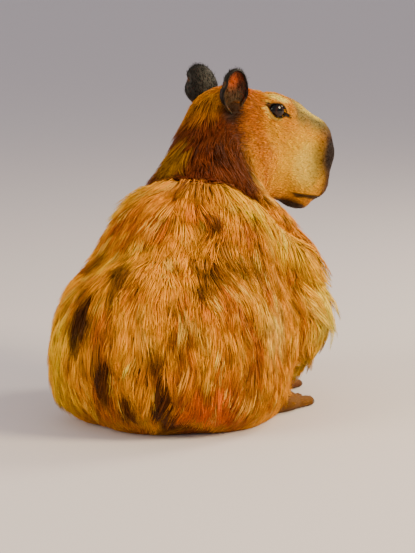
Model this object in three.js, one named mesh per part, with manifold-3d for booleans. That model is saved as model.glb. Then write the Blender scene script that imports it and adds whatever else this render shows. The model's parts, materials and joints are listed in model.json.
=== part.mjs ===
// A capybara that sits like a dog, life size, in millimetres.
// +Z is up and the floor is z = 0. The animal faces -Y, its left side is +X, and its head is
// turned to its right. The origin is on the floor, in the middle of the flat it sits on.
import * as THREE from "three";
import { mergeVertices } from "three/addons/utils/BufferGeometryUtils.js";
import Module from "manifold-3d";

const wasm = await Module();
wasm.setup();

// Driving sizes of the animal
const RUMP_HALF_WIDTH = 168;
const TRUNK_HALF_WIDTH = 172;
const BACK_HEIGHT = 432;
const HAUNCH_REACH = 205;
const NECK_BASE_RADIUS = 122;
const NECK_TOP_RADIUS = 64;
const HEAD_TURN = 40;
const HEAD_PITCH = 19;
const HEAD_SCALE = 1.1;
const CRANIUM_CENTRE = [-20, -385, 536];
const EYE_RADIUS = 18;
const EAR_LENGTH = 88;
const EAR_WIDTH = 64;
const GAP = 0.3;
const COAT_DEPTH = 9;

// Joint places that several forms share
const ELBOW = [162, -306, 168];
const WRIST = [112, -368, 48];
const SHOULDER = [112, -300, 282];
const HEEL = [140, -60, 24];
const BALL = [176, -222, 20];
const NECK_BASE = [0, -272, 345];

const radians = THREE.MathUtils.degToRad;
const vector = (at) => new THREE.Vector3(...at);
const sides = [
  ["left", 1],
  ["right", -1],
];
const onSide = (at, side) => [at[0] * side, at[1], at[2]];

// The head's own frame: forward, left and up, from the middle of the cranium
const headForward = new THREE.Vector3(
  -Math.sin(radians(HEAD_TURN)) * Math.cos(radians(HEAD_PITCH)),
  -Math.cos(radians(HEAD_TURN)) * Math.cos(radians(HEAD_PITCH)),
  -Math.sin(radians(HEAD_PITCH)),
);
const headLeft = new THREE.Vector3(Math.cos(radians(HEAD_TURN)), -Math.sin(radians(HEAD_TURN)), 0);
const headUp = new THREE.Vector3().crossVectors(headForward, headLeft);
const headFrame = new THREE.Matrix4()
  .makeBasis(headForward, headLeft, headUp)
  .scale(new THREE.Vector3(HEAD_SCALE, HEAD_SCALE, HEAD_SCALE))
  .setPosition(...CRANIUM_CENTRE);
const toHead = headFrame.clone().invert();
const bodyFrame = new THREE.Matrix4();

// Distance fields: each takes a point and gives its distance to one rounded form
const scratch = new THREE.Vector3();

function ellipsoid(centre, radii, frame = bodyFrame) {
  const place = frame.clone().multiply(new THREE.Matrix4().makeTranslation(...centre)).invert();
  const [rx, ry, rz] = radii;
  const scale = frame.getMaxScaleOnAxis();
  return (p) => {
    const q = scratch.copy(p).applyMatrix4(place);
    const k0 = Math.hypot(q.x / rx, q.y / ry, q.z / rz);
    const k1 = Math.hypot(q.x / (rx * rx), q.y / (ry * ry), q.z / (rz * rz));
    return scale * (k1 < 1e-9 ? -Math.min(rx, ry, rz) : (k0 * (k0 - 1)) / k1);
  };
}

function roundBox(centre, halves, radius, frame) {
  const place = frame.clone().multiply(new THREE.Matrix4().makeTranslation(...centre)).invert();
  const inner = halves.map((half) => half - radius);
  const scale = frame.getMaxScaleOnAxis();
  return (p) => {
    const q = scratch.copy(p).applyMatrix4(place);
    const d = [Math.abs(q.x) - inner[0], Math.abs(q.y) - inner[1], Math.abs(q.z) - inner[2]];
    const outside = Math.hypot(Math.max(d[0], 0), Math.max(d[1], 0), Math.max(d[2], 0));
    return scale * (outside + Math.min(Math.max(...d), 0) - radius);
  };
}

// A limb between two balls, which tapers from one radius to the other
function limb(from, fromRadius, to, toRadius, frame = bodyFrame) {
  const a = vector(from).applyMatrix4(frame);
  const along = vector(to).applyMatrix4(frame).sub(a);
  const length2 = along.lengthSq();
  const scale = frame.getMaxScaleOnAxis();
  return (p) => {
    const share = THREE.MathUtils.clamp(scratch.copy(p).sub(a).dot(along) / length2, 0, 1);
    const gap = scratch.copy(p).sub(a).addScaledVector(along, -share).length();
    return gap - scale * THREE.MathUtils.lerp(fromRadius, toRadius, share);
  };
}

function smoothUnion(soft, ...fields) {
  return (p) =>
    fields.reduce((near, field) => {
      const d = field(p);
      const h = Math.max(soft - Math.abs(near - d), 0) / soft;
      return Math.min(near, d) - (h * h * soft) / 4;
    }, Infinity);
}

// The trunk is a steep egg: rump on the floor, round back, chest between the forelegs
function trunkField() {
  return smoothUnion(
    55,
    ellipsoid([0, 10, 152], [RUMP_HALF_WIDTH, 150, 158]),
    ellipsoid([0, -30, 84], [RUMP_HALF_WIDTH + 12, 138, 90]),
    ellipsoid([0, -135, 198], [TRUNK_HALF_WIDTH, 172, 185]),
    ellipsoid([0, -185, BACK_HEIGHT - 162], [158, 174, 166]),
    ellipsoid([0, -292, 262], [128, 112, 150]),
    ellipsoid([0, -245, BACK_HEIGHT - 92], [112, 116, 88]),
  );
}

function hindLegField(side) {
  return smoothUnion(
    40,
    ellipsoid(onSide([HAUNCH_REACH - 80, -68, 138], side), [80, 148, 143]),
    ellipsoid(onSide([HAUNCH_REACH - 84, -90, 66], side), [86, 142, 76]),
    ellipsoid(onSide([HAUNCH_REACH - 54, -186, 152], side), [54, 62, 78]),
    limb(onSide(HEEL, side), 25, onSide(BALL, side), 21),
  );
}

function foreLegField(side) {
  return smoothUnion(
    32,
    ellipsoid(onSide(SHOULDER, side), [60, 80, 102]),
    limb(onSide([142, -308, 262], side), 64, onSide(ELBOW, side), 56),
    limb(onSide(ELBOW, side), 55, onSide(WRIST, side), 33),
  );
}

// Neck, from between the shoulders up to the back of the skull
const NECK_TOP = vector([-26, 0, -14]).applyMatrix4(headFrame).toArray();

function neckField() {
  return smoothUnion(
    40,
    limb(NECK_BASE, NECK_BASE_RADIUS, NECK_TOP, NECK_TOP_RADIUS),
    limb([0, -335, 285], 96, vector([22, 0, -66]).applyMatrix4(headFrame).toArray(), 62),
  );
}

// The head, in its own frame: a deep, blunt muzzle, full cheeks and a flat brow
function headField() {
  const pair = (centre, radii) =>
    [1, -1].map((s) => ellipsoid([centre[0], centre[1] * s, centre[2]], radii, headFrame));
  return smoothUnion(
    16,
    ellipsoid([2, 0, 0], [74, 58, 66], headFrame),
    ...pair([54, 31, 48], [42, 19, 24]),
    ellipsoid([94, 0, 28], [66, 38, 47], headFrame),
    ellipsoid([154, 0, 23], [50, 38, 37], headFrame),
    ...pair([20, 32, -50], [72, 36, 58]),
    roundBox([118, 0, -22], [84, 43, 62], 36, headFrame),
    roundBox([182, 0, -30], [31, 42, 52], 28, headFrame),
    ...pair([164, 24, -60], [44, 26, 36]),
    limb([50, 0, -78], 40, [150, 0, -82], 24, headFrame),
    ellipsoid([170, 0, -96], [28, 26, 17], headFrame),
  );
}

const TOE_SOFT = 7;

// Forefoot: a small palm and four blunt toes that fan out
const FORE_TOE_LENGTHS = [40, 52, 54, 42];
const FORE_TOE_SPREAD = 19;
const FORE_PALM = [110, -388, 17];

function foreToes(side) {
  return FORE_TOE_LENGTHS.map((length, i) => {
    const turn = radians((i - 1.5) * FORE_TOE_SPREAD * 0.55);
    const start = [FORE_PALM[0] + (i - 1.5) * 13, FORE_PALM[1] - 8, 13];
    const end = [start[0] + Math.sin(turn) * length, start[1] - Math.cos(turn) * length, 7.5];
    return { start: onSide(start, side), end: onSide(end, side), thick: 11, thin: 7.5 };
  });
}

// Hind foot: a long sole and three heavy toes
const HIND_TOE_LENGTHS = [56, 68, 54];
const HIND_TOE_TURN = 8;

function hindToes(side) {
  return HIND_TOE_LENGTHS.map((length, i) => {
    const turn = radians(HIND_TOE_TURN + (i - 1) * 15);
    const start = [BALL[0] + (i - 1) * 17, BALL[1] - 4, 14];
    const end = [start[0] + Math.sin(turn) * length, start[1] - Math.cos(turn) * length, 9];
    return { start: onSide(start, side), end: onSide(end, side), thick: 14, thin: 9.5 };
  });
}

const toeField = (toe) => limb(toe.start, toe.thick, toe.end, toe.thin);

function feetField() {
  const forms = sides.flatMap(([, side]) => [
    ellipsoid(onSide(FORE_PALM, side), [30, 34, 18]),
    ...foreToes(side).map(toeField),
    ellipsoid(onSide([BALL[0], BALL[1] + 4, 16], side), [34, 40, 18]),
    ...hindToes(side).map(toeField),
  ]);
  return smoothUnion(TOE_SOFT, ...forms);
}

const bodyParts = smoothUnion(
  38,
  trunkField(),
  neckField(),
  ...sides.flatMap(([, side]) => [hindLegField(side), foreLegField(side)]),
);
const head = headField();
const footless = smoothUnion(26, bodyParts, head);
const flesh = smoothUnion(12, footless, feetField());

// The coat stands off the trunk and fades out towards the face and the feet
function coatDepth(p) {
  const fromFeet = THREE.MathUtils.smoothstep(p.z, 30, 120);
  const forward = scratch.copy(p).applyMatrix4(toHead).x;
  const behindEars = 1 - THREE.MathUtils.smoothstep(forward, -95, -40);
  const belowHead = THREE.MathUtils.smoothstep(head(p), 10, 70);
  return COAT_DEPTH * fromFeet * Math.max(behindEars, belowHead);
}

const coated = (p) => flesh(p) - coatDepth(p);
const coatedBody = (p) => footless(p) - coatDepth(p);

// A closed mesh of the surface where a field is zero, one vertex in each cell that it crosses
function surfaceOf(field, low, high, cell) {
  const count = low.map((l, i) => Math.ceil((high[i] - l) / cell) + 1);
  const index = (i, j, k) => (k * count[1] + j) * count[0] + i;
  const values = new Float64Array(count[0] * count[1] * count[2]);
  const p = new THREE.Vector3();
  const at = (i, j, k) => p.set(low[0] + i * cell, low[1] + j * cell, low[2] + k * cell);
  for (let k = 0; k < count[2]; k++)
    for (let j = 0; j < count[1]; j++)
      for (let i = 0; i < count[0]; i++) {
        const border = [i, j, k].some((n, axis) => n === 0 || n === count[axis] - 1);
        values[index(i, j, k)] = border ? cell / 2 : field(at(i, j, k));
      }
  const inside = (i, j, k) => values[index(i, j, k)] < 0;
  const corners = [0, 1, 2, 3, 4, 5, 6, 7].map((c) => [c & 1, (c >> 1) & 1, c >> 2]);
  const across = [
    [1, 2],
    [2, 0],
    [0, 1],
  ];

  // The edges of one cell that the surface crosses, grouped into sheets. On a face with four
  // crossings the inside corners stay apart, so two cells always agree on the face they share.
  function sheetsOf(i, j, k) {
    const kind = corners.map(([di, dj, dk]) => inside(i + di, j + dj, k + dk));
    const sheet = new Map();
    const join = (a, b) => {
      const [from, to] = [sheet.get(a), sheet.get(b)];
      for (const [edge, label] of sheet) if (label === from) sheet.set(edge, to);
    };
    for (let axis = 0; axis < 3; axis++)
      for (let c = 0; c < 8; c++)
        if (!(c & (1 << axis)) && kind[c] !== kind[c | (1 << axis)]) sheet.set(c * 3 + axis, c * 3 + axis);
    across.forEach(([u, w], normal) => {
      for (const base of [0, 1 << normal]) {
        const round = [base, base | (1 << u), base | (1 << u) | (1 << w), base | (1 << w)];
        const edges = [base * 3 + u, round[1] * 3 + w, round[3] * 3 + u, base * 3 + w];
        const crossed = edges.filter((edge) => sheet.has(edge));
        if (crossed.length === 2) join(...crossed);
        if (crossed.length === 4)
          round.forEach((c, n) => {
            if (kind[c]) join(edges[n], edges[(n + 3) % 4]);
          });
      }
    });
    return sheet;
  }

  // One vertex for each sheet of the surface in a cell, at the middle of the sheet's crossings
  const positions = [];
  const vertexOf = new Map();
  for (let k = 0; k + 1 < count[2]; k++)
    for (let j = 0; j + 1 < count[1]; j++)
      for (let i = 0; i + 1 < count[0]; i++) {
        const sheet = sheetsOf(i, j, k);
        for (const label of new Set(sheet.values())) {
          const edges = [...sheet.keys()].filter((edge) => sheet.get(edge) === label);
          const sum = new THREE.Vector3();
          for (const edge of edges) {
            const [c, d] = [Math.floor(edge / 3), Math.floor(edge / 3) | (1 << edge % 3)];
            const near = values[index(i + corners[c][0], j + corners[c][1], k + corners[c][2])];
            const far = values[index(i + corners[d][0], j + corners[d][1], k + corners[d][2])];
            sum.add(vector(corners[c]).lerp(vector(corners[d]), near / (near - far)));
            vertexOf.set(index(i, j, k) * 24 + edge, positions.length / 3);
          }
          sum.divideScalar(edges.length);
          positions.push(low[0] + (i + sum.x) * cell, low[1] + (j + sum.y) * cell, low[2] + (k + sum.z) * cell);
        }
      }

  // Each grid edge that the surface crosses gives a quad between the four cells around it
  const faces = [];
  const turnRound = [
    [1, 1],
    [0, 1],
    [0, 0],
    [1, 0],
  ];
  for (let k = 0; k + 1 < count[2]; k++)
    for (let j = 0; j + 1 < count[1]; j++)
      for (let i = 0; i + 1 < count[0]; i++)
        across.forEach(([u, w], axis) => {
          const next = [i, j, k];
          next[axis]++;
          if (inside(i, j, k) === inside(...next)) return;
          const around = turnRound.map(([du, dw]) => {
            const cellAt = [i, j, k];
            cellAt[u] -= du;
            cellAt[w] -= dw;
            const c = (du << u) | (dw << w);
            return vertexOf.get(index(...cellAt) * 24 + c * 3 + axis);
          });
          const [a, b, c, d] = inside(i, j, k) ? around : around.reverse();
          faces.push(a, b, c, a, c, d);
        });
  const geometry = new THREE.BufferGeometry();
  geometry.setAttribute("position", new THREE.Float32BufferAttribute(positions, 3));
  geometry.setIndex(faces);
  return geometry;
}

// Solids: a closed geometry becomes one, and a solid becomes a geometry again
function solid(geometry, matrix = bodyFrame) {
  const bare = geometry.clone().applyMatrix4(matrix);
  bare.deleteAttribute("normal");
  bare.deleteAttribute("uv");
  const merged = mergeVertices(bare, 1e-3);
  return new wasm.Manifold(
    new wasm.Mesh({
      numProp: 3,
      vertProperties: merged.attributes.position.array,
      triVerts: new Uint32Array(merged.index.array),
    }),
  );
}

function geometryOf(body) {
  const mesh = body.getMesh();
  const geometry = new THREE.BufferGeometry();
  geometry.setAttribute("position", new THREE.BufferAttribute(mesh.vertProperties, 3));
  geometry.setIndex(new THREE.BufferAttribute(mesh.triVerts, 1));
  return geometry;
}

const largest = (body) => body.decompose().sort((a, b) => b.volume() - a.volume())[0];

// The side of a plane that its normal points to, half a gap away from it
function beyond(body, point, normal) {
  const n = normal.clone().normalize();
  return body.trimByPlane(n.toArray(), n.dot(point) + GAP / 2);
}

function ball(centre, radii, frame = bodyFrame, turn = new THREE.Euler(), segments = [24, 16]) {
  const place = frame
    .clone()
    .multiply(new THREE.Matrix4().makeTranslation(...centre))
    .multiply(new THREE.Matrix4().makeRotationFromEuler(turn))
    .multiply(new THREE.Matrix4().makeScale(...radii));
  return solid(new THREE.SphereGeometry(1, ...segments), place);
}

// The haunch and the foreleg are parted from the trunk by these rounded regions
const haunchRegion = (side, extra) =>
  ball(onSide([202, -82, 118], side), [137 + extra, 196 + extra, 200 + extra], bodyFrame, undefined, [20, 12]);

function foreLegRegion(side, extra) {
  const top = vector(onSide([186, -310, 262], side));
  const foot = vector(onSide([146, -400, -60], side));
  const turn = new THREE.Quaternion().setFromUnitVectors(
    new THREE.Vector3(0, 1, 0),
    top.clone().sub(foot).normalize(),
  );
  const place = new THREE.Matrix4().compose(top.clone().add(foot).divideScalar(2), turn, new THREE.Vector3(1, 1, 1));
  return solid(new THREE.CapsuleGeometry(106 + extra, top.distanceTo(foot), 4, 16), place);
}

const HIND_FOOT_TOP = 50;
const HIND_FOOT_BACK = -150;

function hindFootRegion(side, extra) {
  const box = new THREE.BoxGeometry(220 + 2 * extra, 300 + 2 * extra, 100 + 2 * extra);
  return solid(
    box.translate(side * 210, HIND_FOOT_BACK - 150, HIND_FOOT_TOP - 50),
  );
}

const floorCut = (body) => body.trimByPlane([0, 0, 1], 0);

// Cuts shared by two nodes
const neckCutPoint = vector([-52, 0, -30]).applyMatrix4(headFrame);
const neckCutNormal = vector([0.84, 0, 0.54]).transformDirection(headFrame);
const shoulderCutPoint = vector([0, -285, 395]);
const shoulderCutNormal = new THREE.Vector3(-0.12, -0.56, 0.82).normalize();
const WRIST_CUT = vector([0, 0, 46]);
const UP = new THREE.Vector3(0, 0, 1);
const DOWN = new THREE.Vector3(0, 0, -1);

// Locks of the coat: flat and tapered, bent along the lie of the hair, each rooted under the
// surface that it lies on, with its tip over the root of the next
const LOCK_SPACING = 66;
const LOCK_LENGTH = 135;
const LOCK_WIDTH = 68;
const LOCK_THICKNESS = 12;
const LOCK_SINK = 9;
const LOCK_LIFT = 11;
const FRINGE_LIFT = 36;
const LOCK_RINGS = [
  { along: 0, width: 0.55, thick: 0.9 },
  { along: 0.34, width: 1, thick: 1 },
  { along: 0.7, width: 0.62, thick: 0.7 },
];

function seeded(seed) {
  let state = seed;
  return () => {
    state = (state + 0x6d2b79f5) >>> 0;
    let mixed = Math.imul(state ^ (state >>> 15), state | 1);
    mixed ^= mixed + Math.imul(mixed ^ (mixed >>> 7), mixed | 61);
    return ((mixed ^ (mixed >>> 14)) >>> 0) / 4294967296;
  };
}
const random = seeded(11);
const between = (low, high) => low + (high - low) * random();

function outwardAt(p) {
  const step = 2;
  const slope = (axis) => {
    const [ahead, behind] = [p.clone(), p.clone()];
    ahead.setComponent(axis, p.getComponent(axis) + step);
    behind.setComponent(axis, p.getComponent(axis) - step);
    return coated(ahead) - coated(behind);
  };
  return new THREE.Vector3(slope(0), slope(1), slope(2)).normalize();
}

// The hair runs down from the nape and the shoulders, back over the rump and out at the flanks
function lieAt(p) {
  const front = THREE.MathUtils.smoothstep(-p.y, 150, 300);
  const spread = p.x * 0.0016;
  return new THREE.Vector3(spread, THREE.MathUtils.lerp(0.5, -0.12, front), -1);
}

// How far the tips stand out: more in the fringe on the flanks behind the forelegs and at the throat
function liftAt(p) {
  const flank = THREE.MathUtils.smoothstep(Math.abs(p.x), 110, 185) * THREE.MathUtils.smoothstep(-p.y, 200, 290);
  return THREE.MathUtils.lerp(LOCK_LIFT, FRINGE_LIFT, flank);
}

function lockAt(root) {
  const [length, width] = [LOCK_LENGTH * between(0.85, 1.15), LOCK_WIDTH * between(0.85, 1.15)];
  const lift = liftAt(root) * between(0.8, 1.2);
  const sway = between(-0.25, 0.25);
  const q = root.clone();
  const points = [];
  let done = 0;
  for (const { along, width: wide, thick } of [...LOCK_RINGS, { along: 1, width: 0, thick: 0 }]) {
    let out = outwardAt(q);
    const lie = lieAt(q).projectOnPlane(out).normalize().applyAxisAngle(out, sway);
    q.addScaledVector(lie, (along - done) * length);
    done = along;
    q.addScaledVector(outwardAt(q), -coated(q));
    out = outwardAt(q);
    const height = THREE.MathUtils.lerp(-LOCK_SINK, lift, Math.pow(along, 0.8));
    const across = new THREE.Vector3().crossVectors(out, lie).normalize();
    const centre = q.clone().addScaledVector(out, height);
    if (wide === 0) points.push(centre);
    else
      points.push(
        centre.clone().addScaledVector(across, (-wide * width) / 2).addScaledVector(out, (-thick * LOCK_THICKNESS) / 2),
        centre.clone().addScaledVector(across, (wide * width) / 2).addScaledVector(out, (-thick * LOCK_THICKNESS) / 2),
        centre.clone().addScaledVector(out, (thick * LOCK_THICKNESS) / 2),
      );
  }
  return lockSolid(points);
}

// Rings of three points, closed at the root and drawn together at the tip
function lockSolid(points) {
  const faces = [0, 2, 1];
  const tip = points.length - 1;
  for (let ring = 0; ring + 3 < tip; ring += 3)
    for (let n = 0; n < 3; n++) {
      const [a, b] = [ring + n, ring + ((n + 1) % 3)];
      faces.push(a, b, a + 3, b, b + 3, a + 3);
    }
  for (let n = 0; n < 3; n++) faces.push(tip - 3 + n, tip - 3 + ((n + 1) % 3), tip);
  const geometry = new THREE.BufferGeometry();
  geometry.setAttribute("position", new THREE.Float32BufferAttribute(points.flatMap((at) => at.toArray()), 3));
  geometry.setIndex(faces);
  return solid(geometry);
}

const aboveNeck = (p) => p.clone().sub(neckCutPoint).dot(neckCutNormal) > -20;

// Roots spread evenly over the coat, on points of its surface that stay a spacing apart
function lockRoots(surface) {
  const { vertProperties: at, triVerts: faces } = surface.getMesh();
  const roots = [];
  const corner = (n) => new THREE.Vector3().fromArray(at, 3 * faces[n]);
  const triangles = [];
  let total = 0;
  for (let n = 0; n < faces.length; n += 3) {
    const triangle = new THREE.Triangle(corner(n), corner(n + 1), corner(n + 2));
    total += triangle.getArea();
    triangles.push({ triangle, upTo: total });
  }
  for (let tries = 0; tries < 9000; tries++) {
    const pick = random() * total;
    const { triangle } = triangles.find(({ upTo }) => upTo >= pick);
    const [u, v] = [random(), random()];
    const [s, t] = u + v > 1 ? [1 - u, 1 - v] : [u, v];
    const p = triangle.a.clone().multiplyScalar(1 - s - t).addScaledVector(triangle.b, s).addScaledVector(triangle.c, t);
    if (p.z < 60 || aboveNeck(p) || coatDepth(p) < COAT_DEPTH * 0.8 || outwardAt(p).z < -0.4) continue;
    if (roots.every((root) => root.distanceTo(p) > LOCK_SPACING)) roots.push(p);
  }
  return roots;
}

const materials = {
  coat: new THREE.MeshStandardMaterial({ color: 0xb06a1e, roughness: 0.85, metalness: 0 }),
  face: new THREE.MeshStandardMaterial({ color: 0xb8721f, roughness: 0.8, metalness: 0 }),
  ear: new THREE.MeshStandardMaterial({ color: 0x2e2019, roughness: 0.8, metalness: 0 }),
  foot: new THREE.MeshStandardMaterial({ color: 0x5a4029, roughness: 0.8, metalness: 0 }),
  eye: new THREE.MeshStandardMaterial({ color: 0x0d0a08, roughness: 0.08, metalness: 0 }),
  nail: new THREE.MeshStandardMaterial({ color: 0x2b241e, roughness: 0.45, metalness: 0 }),
};

const capybara = new THREE.Group();
const SLIVER = 0.1;

function addNode(name, body, material) {
  const mesh = new THREE.Mesh(geometryOf(largest(body.simplify(SLIVER))), materials[material]);
  mesh.name = name;
  capybara.add(mesh);
}

// Trunk, haunches and neck come from one coarse surface, so that they run on into each other
const TRUNK_CELL = 36;
const TRUNK_DETAIL = 2.6;
const trunkSurface = solid(surfaceOf(coatedBody, [-290, -540, -30], [290, 220, 640], TRUNK_CELL)).simplify(
  TRUNK_DETAIL,
);

// A fringe of longer hair hangs down the outside of each foreleg, to the elbow
const FRINGE_COUNT = 7;
const FRINGE_TOP = [236, -318, 318];
const FRINGE_END = [240, -330, 150];

function fringeRoots(side) {
  return Array.from({ length: FRINGE_COUNT }, (_, n) => {
    const at = vector(onSide(FRINGE_TOP, side)).lerp(vector(onSide(FRINGE_END, side)), n / (FRINGE_COUNT - 1));
    for (let turns = 0; turns < 3; turns++) at.addScaledVector(outwardAt(at), -coated(at));
    return at;
  });
}

const fringe = sides.flatMap(([, side]) => fringeRoots(side));
const spread = lockRoots(trunkSurface).filter((root) => fringe.every((at) => at.distanceTo(root) > LOCK_SPACING / 2));
const locks = [...fringe, ...spread].map((root) => ({ root, body: lockAt(root) }));

// A core with the locks that are rooted in it, and on its own side of every cut
function withLocks(core, holds) {
  return wasm.Manifold.union([core, ...locks.filter(({ root }) => holds(root)).map(({ body }) => body)]);
}

function inRegion(region, root) {
  const point = wasm.Manifold.cube([1, 1, 1], true).translate(root.x, root.y, root.z);
  return !region.intersect(point).isEmpty();
}

const legRegions = sides.flatMap(([, side]) => [haunchRegion(side, 0), foreLegRegion(side, 0)]);
const aboveShoulders = (p) => p.clone().sub(shoulderCutPoint).dot(shoulderCutNormal) > 0;

function makeTrunk() {
  const coat = withLocks(trunkSurface, (p) => !aboveShoulders(p) && !legRegions.some((region) => inRegion(region, p)));
  let body = beyond(coat, shoulderCutPoint, shoulderCutNormal.clone().negate());
  for (const [, side] of sides)
    body = body
      .subtract(haunchRegion(side, GAP))
      .subtract(foreLegRegion(side, GAP))
      .subtract(hindFootRegion(side, GAP));
  addNode("torso", floorCut(body), "coat");
}

function makeHaunch(label, side) {
  const region = haunchRegion(side, 0);
  const coat = withLocks(trunkSurface, (p) => inRegion(region, p));
  const body = coat.intersect(region).subtract(hindFootRegion(side, GAP));
  addNode(`haunch_${label}`, floorCut(body.subtract(foreLegRegion(side, GAP))), "coat");
}

function makeNeck() {
  const body = beyond(withLocks(trunkSurface, aboveShoulders), shoulderCutPoint, shoulderCutNormal);
  addNode("neck", beyond(body, neckCutPoint, neckCutNormal.clone().negate()), "coat");
}

const LIMB_CELL = 22;
const LIMB_DETAIL = 1.2;

function makeForeLeg(label, side) {
  const low = [Math.min(side * 20, side * 270), -480, -20];
  const high = [Math.max(side * 20, side * 270), -190, 400];
  const surface = solid(surfaceOf(coated, low, high, LIMB_CELL)).simplify(LIMB_DETAIL);
  const region = foreLegRegion(side, 0);
  const body = withLocks(surface, (p) => inRegion(region, p)).intersect(region);
  const cleared = beyond(body, shoulderCutPoint, shoulderCutNormal.clone().negate());
  addNode(`foreleg_${label}`, beyond(cleared, WRIST_CUT, UP), "coat");
}

// Each nail is a blunt hoof that caps its toe, parted from it by a flat cut
const NAIL_SIZE = { fore: [7, 12, 6.5], hind: [9, 14, 8] };

function nailOf(toe, kind) {
  const end = vector(toe.end);
  const along = end.clone().sub(vector(toe.start)).setZ(0).normalize();
  const turn = new THREE.Euler(0, 0, Math.atan2(-along.x, along.y));
  const body = ball([end.x, end.y, end.z], NAIL_SIZE[kind], bodyFrame, turn, [8, 6]);
  const cut = end.clone().addScaledVector(along, 2);
  return { cut, along, body: floorCut(beyond(body, cut, along)) };
}

const FOOT_CELL = 9;
const FOOT_DETAIL = 0.7;

function makeFoot(name, label, side, low, high, toes, kind, cutAway) {
  const surface = solid(surfaceOf(flesh, low, high, FOOT_CELL)).simplify(FOOT_DETAIL);
  let body = floorCut(cutAway(surface));
  toes.forEach((toe, i) => {
    const nail = nailOf(toe, kind);
    const room = ball(toe.end, [40, 40, 40], bodyFrame, undefined, [12, 8]);
    body = body.subtract(beyond(room, nail.cut.clone().addScaledVector(nail.along, -GAP), nail.along));
    addNode(`nail_${kind}_${label}_${i + 1}`, nail.body, "nail");
  });
  addNode(`${name}_${label}`, body, "foot");
}

function makeFeet(label, side) {
  const foreX = [side * 50, side * 190];
  makeFoot(
    "forefoot",
    label,
    side,
    [Math.min(...foreX), -480, -12],
    [Math.max(...foreX), -320, 70],
    foreToes(side),
    "fore",
    (body) => beyond(body, WRIST_CUT, DOWN),
  );
  const hindX = [side * 80, side * 290];
  makeFoot(
    "hindfoot",
    label,
    side,
    [Math.min(...hindX), -350, -12],
    [Math.max(...hindX), HIND_FOOT_BACK + 30, 80],
    hindToes(side),
    "hind",
    (body) => body.intersect(hindFootRegion(side, 0)),
  );
}

// Ears: a short round cup with a notch in its rear edge, set high at the back of the head
const EAR_ROOT = [-42, 48, 24];
const EAR_WALL = 5;
const EAR_LEAN_BACK = 25;
const EAR_LEAN_OUT = 12;
const EAR_OPENING = 80;
const EAR_CUT = 14;

function earSolid(side) {
  const frame = headFrame
    .clone()
    .multiply(new THREE.Matrix4().makeTranslation(EAR_ROOT[0], EAR_ROOT[1] * side, EAR_ROOT[2]))
    .multiply(new THREE.Matrix4().makeRotationY(radians(-EAR_LEAN_BACK)))
    .multiply(new THREE.Matrix4().makeRotationX(radians(-EAR_LEAN_OUT * side)))
    .multiply(new THREE.Matrix4().makeRotationZ(radians(EAR_OPENING * side)));
  const half = EAR_LENGTH / 2;
  const outer = ball([0, 0, half * 0.62], [14, EAR_WIDTH / 2, half], frame, undefined, [14, 10]);
  const inner = ball([9, 0, half * 0.7], [14, EAR_WIDTH / 2 - EAR_WALL, half - EAR_WALL], frame, undefined, [14, 10]);
  const notch = ball([0, side * EAR_WIDTH * 0.52, half * 1.15], [20, 9, 11], frame, undefined, [12, 8]);
  const cutPoint = vector([0, 0, EAR_CUT]).applyMatrix4(frame);
  const cutNormal = vector([0, 0, 1]).transformDirection(frame);
  return { whole: outer.subtract(inner).subtract(notch), cutPoint, cutNormal };
}

const MOUTH_CENTRE = [168, 0, -88];
const MOUTH_LENGTH = 110;
const MOUTH_SLIT = 2.6;
const MOUTH_SLOPE = -10;

// Eyes sit in sockets, under lids that leave an almond opening
const EYE_CENTRE = [52, 37, 42];
const EYE_SLANT = 8;

function eyeFrame(side) {
  return headFrame
    .clone()
    .multiply(new THREE.Matrix4().makeTranslation(EYE_CENTRE[0], EYE_CENTRE[1] * side, EYE_CENTRE[2]));
}

function eyeParts(side) {
  const frame = eyeFrame(side);
  const still = new THREE.Euler();
  const eye = ball([0, 0, 0], [EYE_RADIUS, EYE_RADIUS, EYE_RADIUS], frame, still, [14, 8]);
  const socketRadius = EYE_RADIUS + GAP;
  const socket = ball([0, 0, 0], [socketRadius, socketRadius, socketRadius], frame, still, [14, 8]);
  const lidRadius = EYE_RADIUS + 2;
  const lids = ball([0, 0, 0], [lidRadius + 4, lidRadius, lidRadius], frame, still, [14, 8]);
  const opening = ball([0, side * 19, 0], [19, 19, 10.5], frame, new THREE.Euler(0, radians(EYE_SLANT), 0), [14, 8]);
  return { eye, socket, lids, opening };
}

// The mouth is a narrow slit around the front of the muzzle; the nostrils and the cleft of the
// upper lip are cut into the nose above it
function mouthCuts() {
  const slit = solid(
    new THREE.BoxGeometry(MOUTH_LENGTH, 120, MOUTH_SLIT),
    headFrame
      .clone()
      .multiply(new THREE.Matrix4().makeTranslation(...MOUTH_CENTRE))
      .multiply(new THREE.Matrix4().makeRotationY(radians(MOUTH_SLOPE))),
  );
  const tongueRoom = ball([140, 0, -88], [50, 33, 30], headFrame, undefined, [14, 8]);
  const cleft = ball([215, 0, -44], [9, 2.4, 32], headFrame, undefined, [10, 10]);
  const nostrils = [1, -1].map((side) =>
    ball([207, side * 20, 10], [11, 8, 4.5], headFrame, new THREE.Euler(radians(side * 35), 0, 0), [12, 8]),
  );
  return [slit.subtract(tongueRoom), cleft, ...nostrils];
}

const HEAD_CELL = 18;
const HEAD_DETAIL = 1.2;

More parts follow.
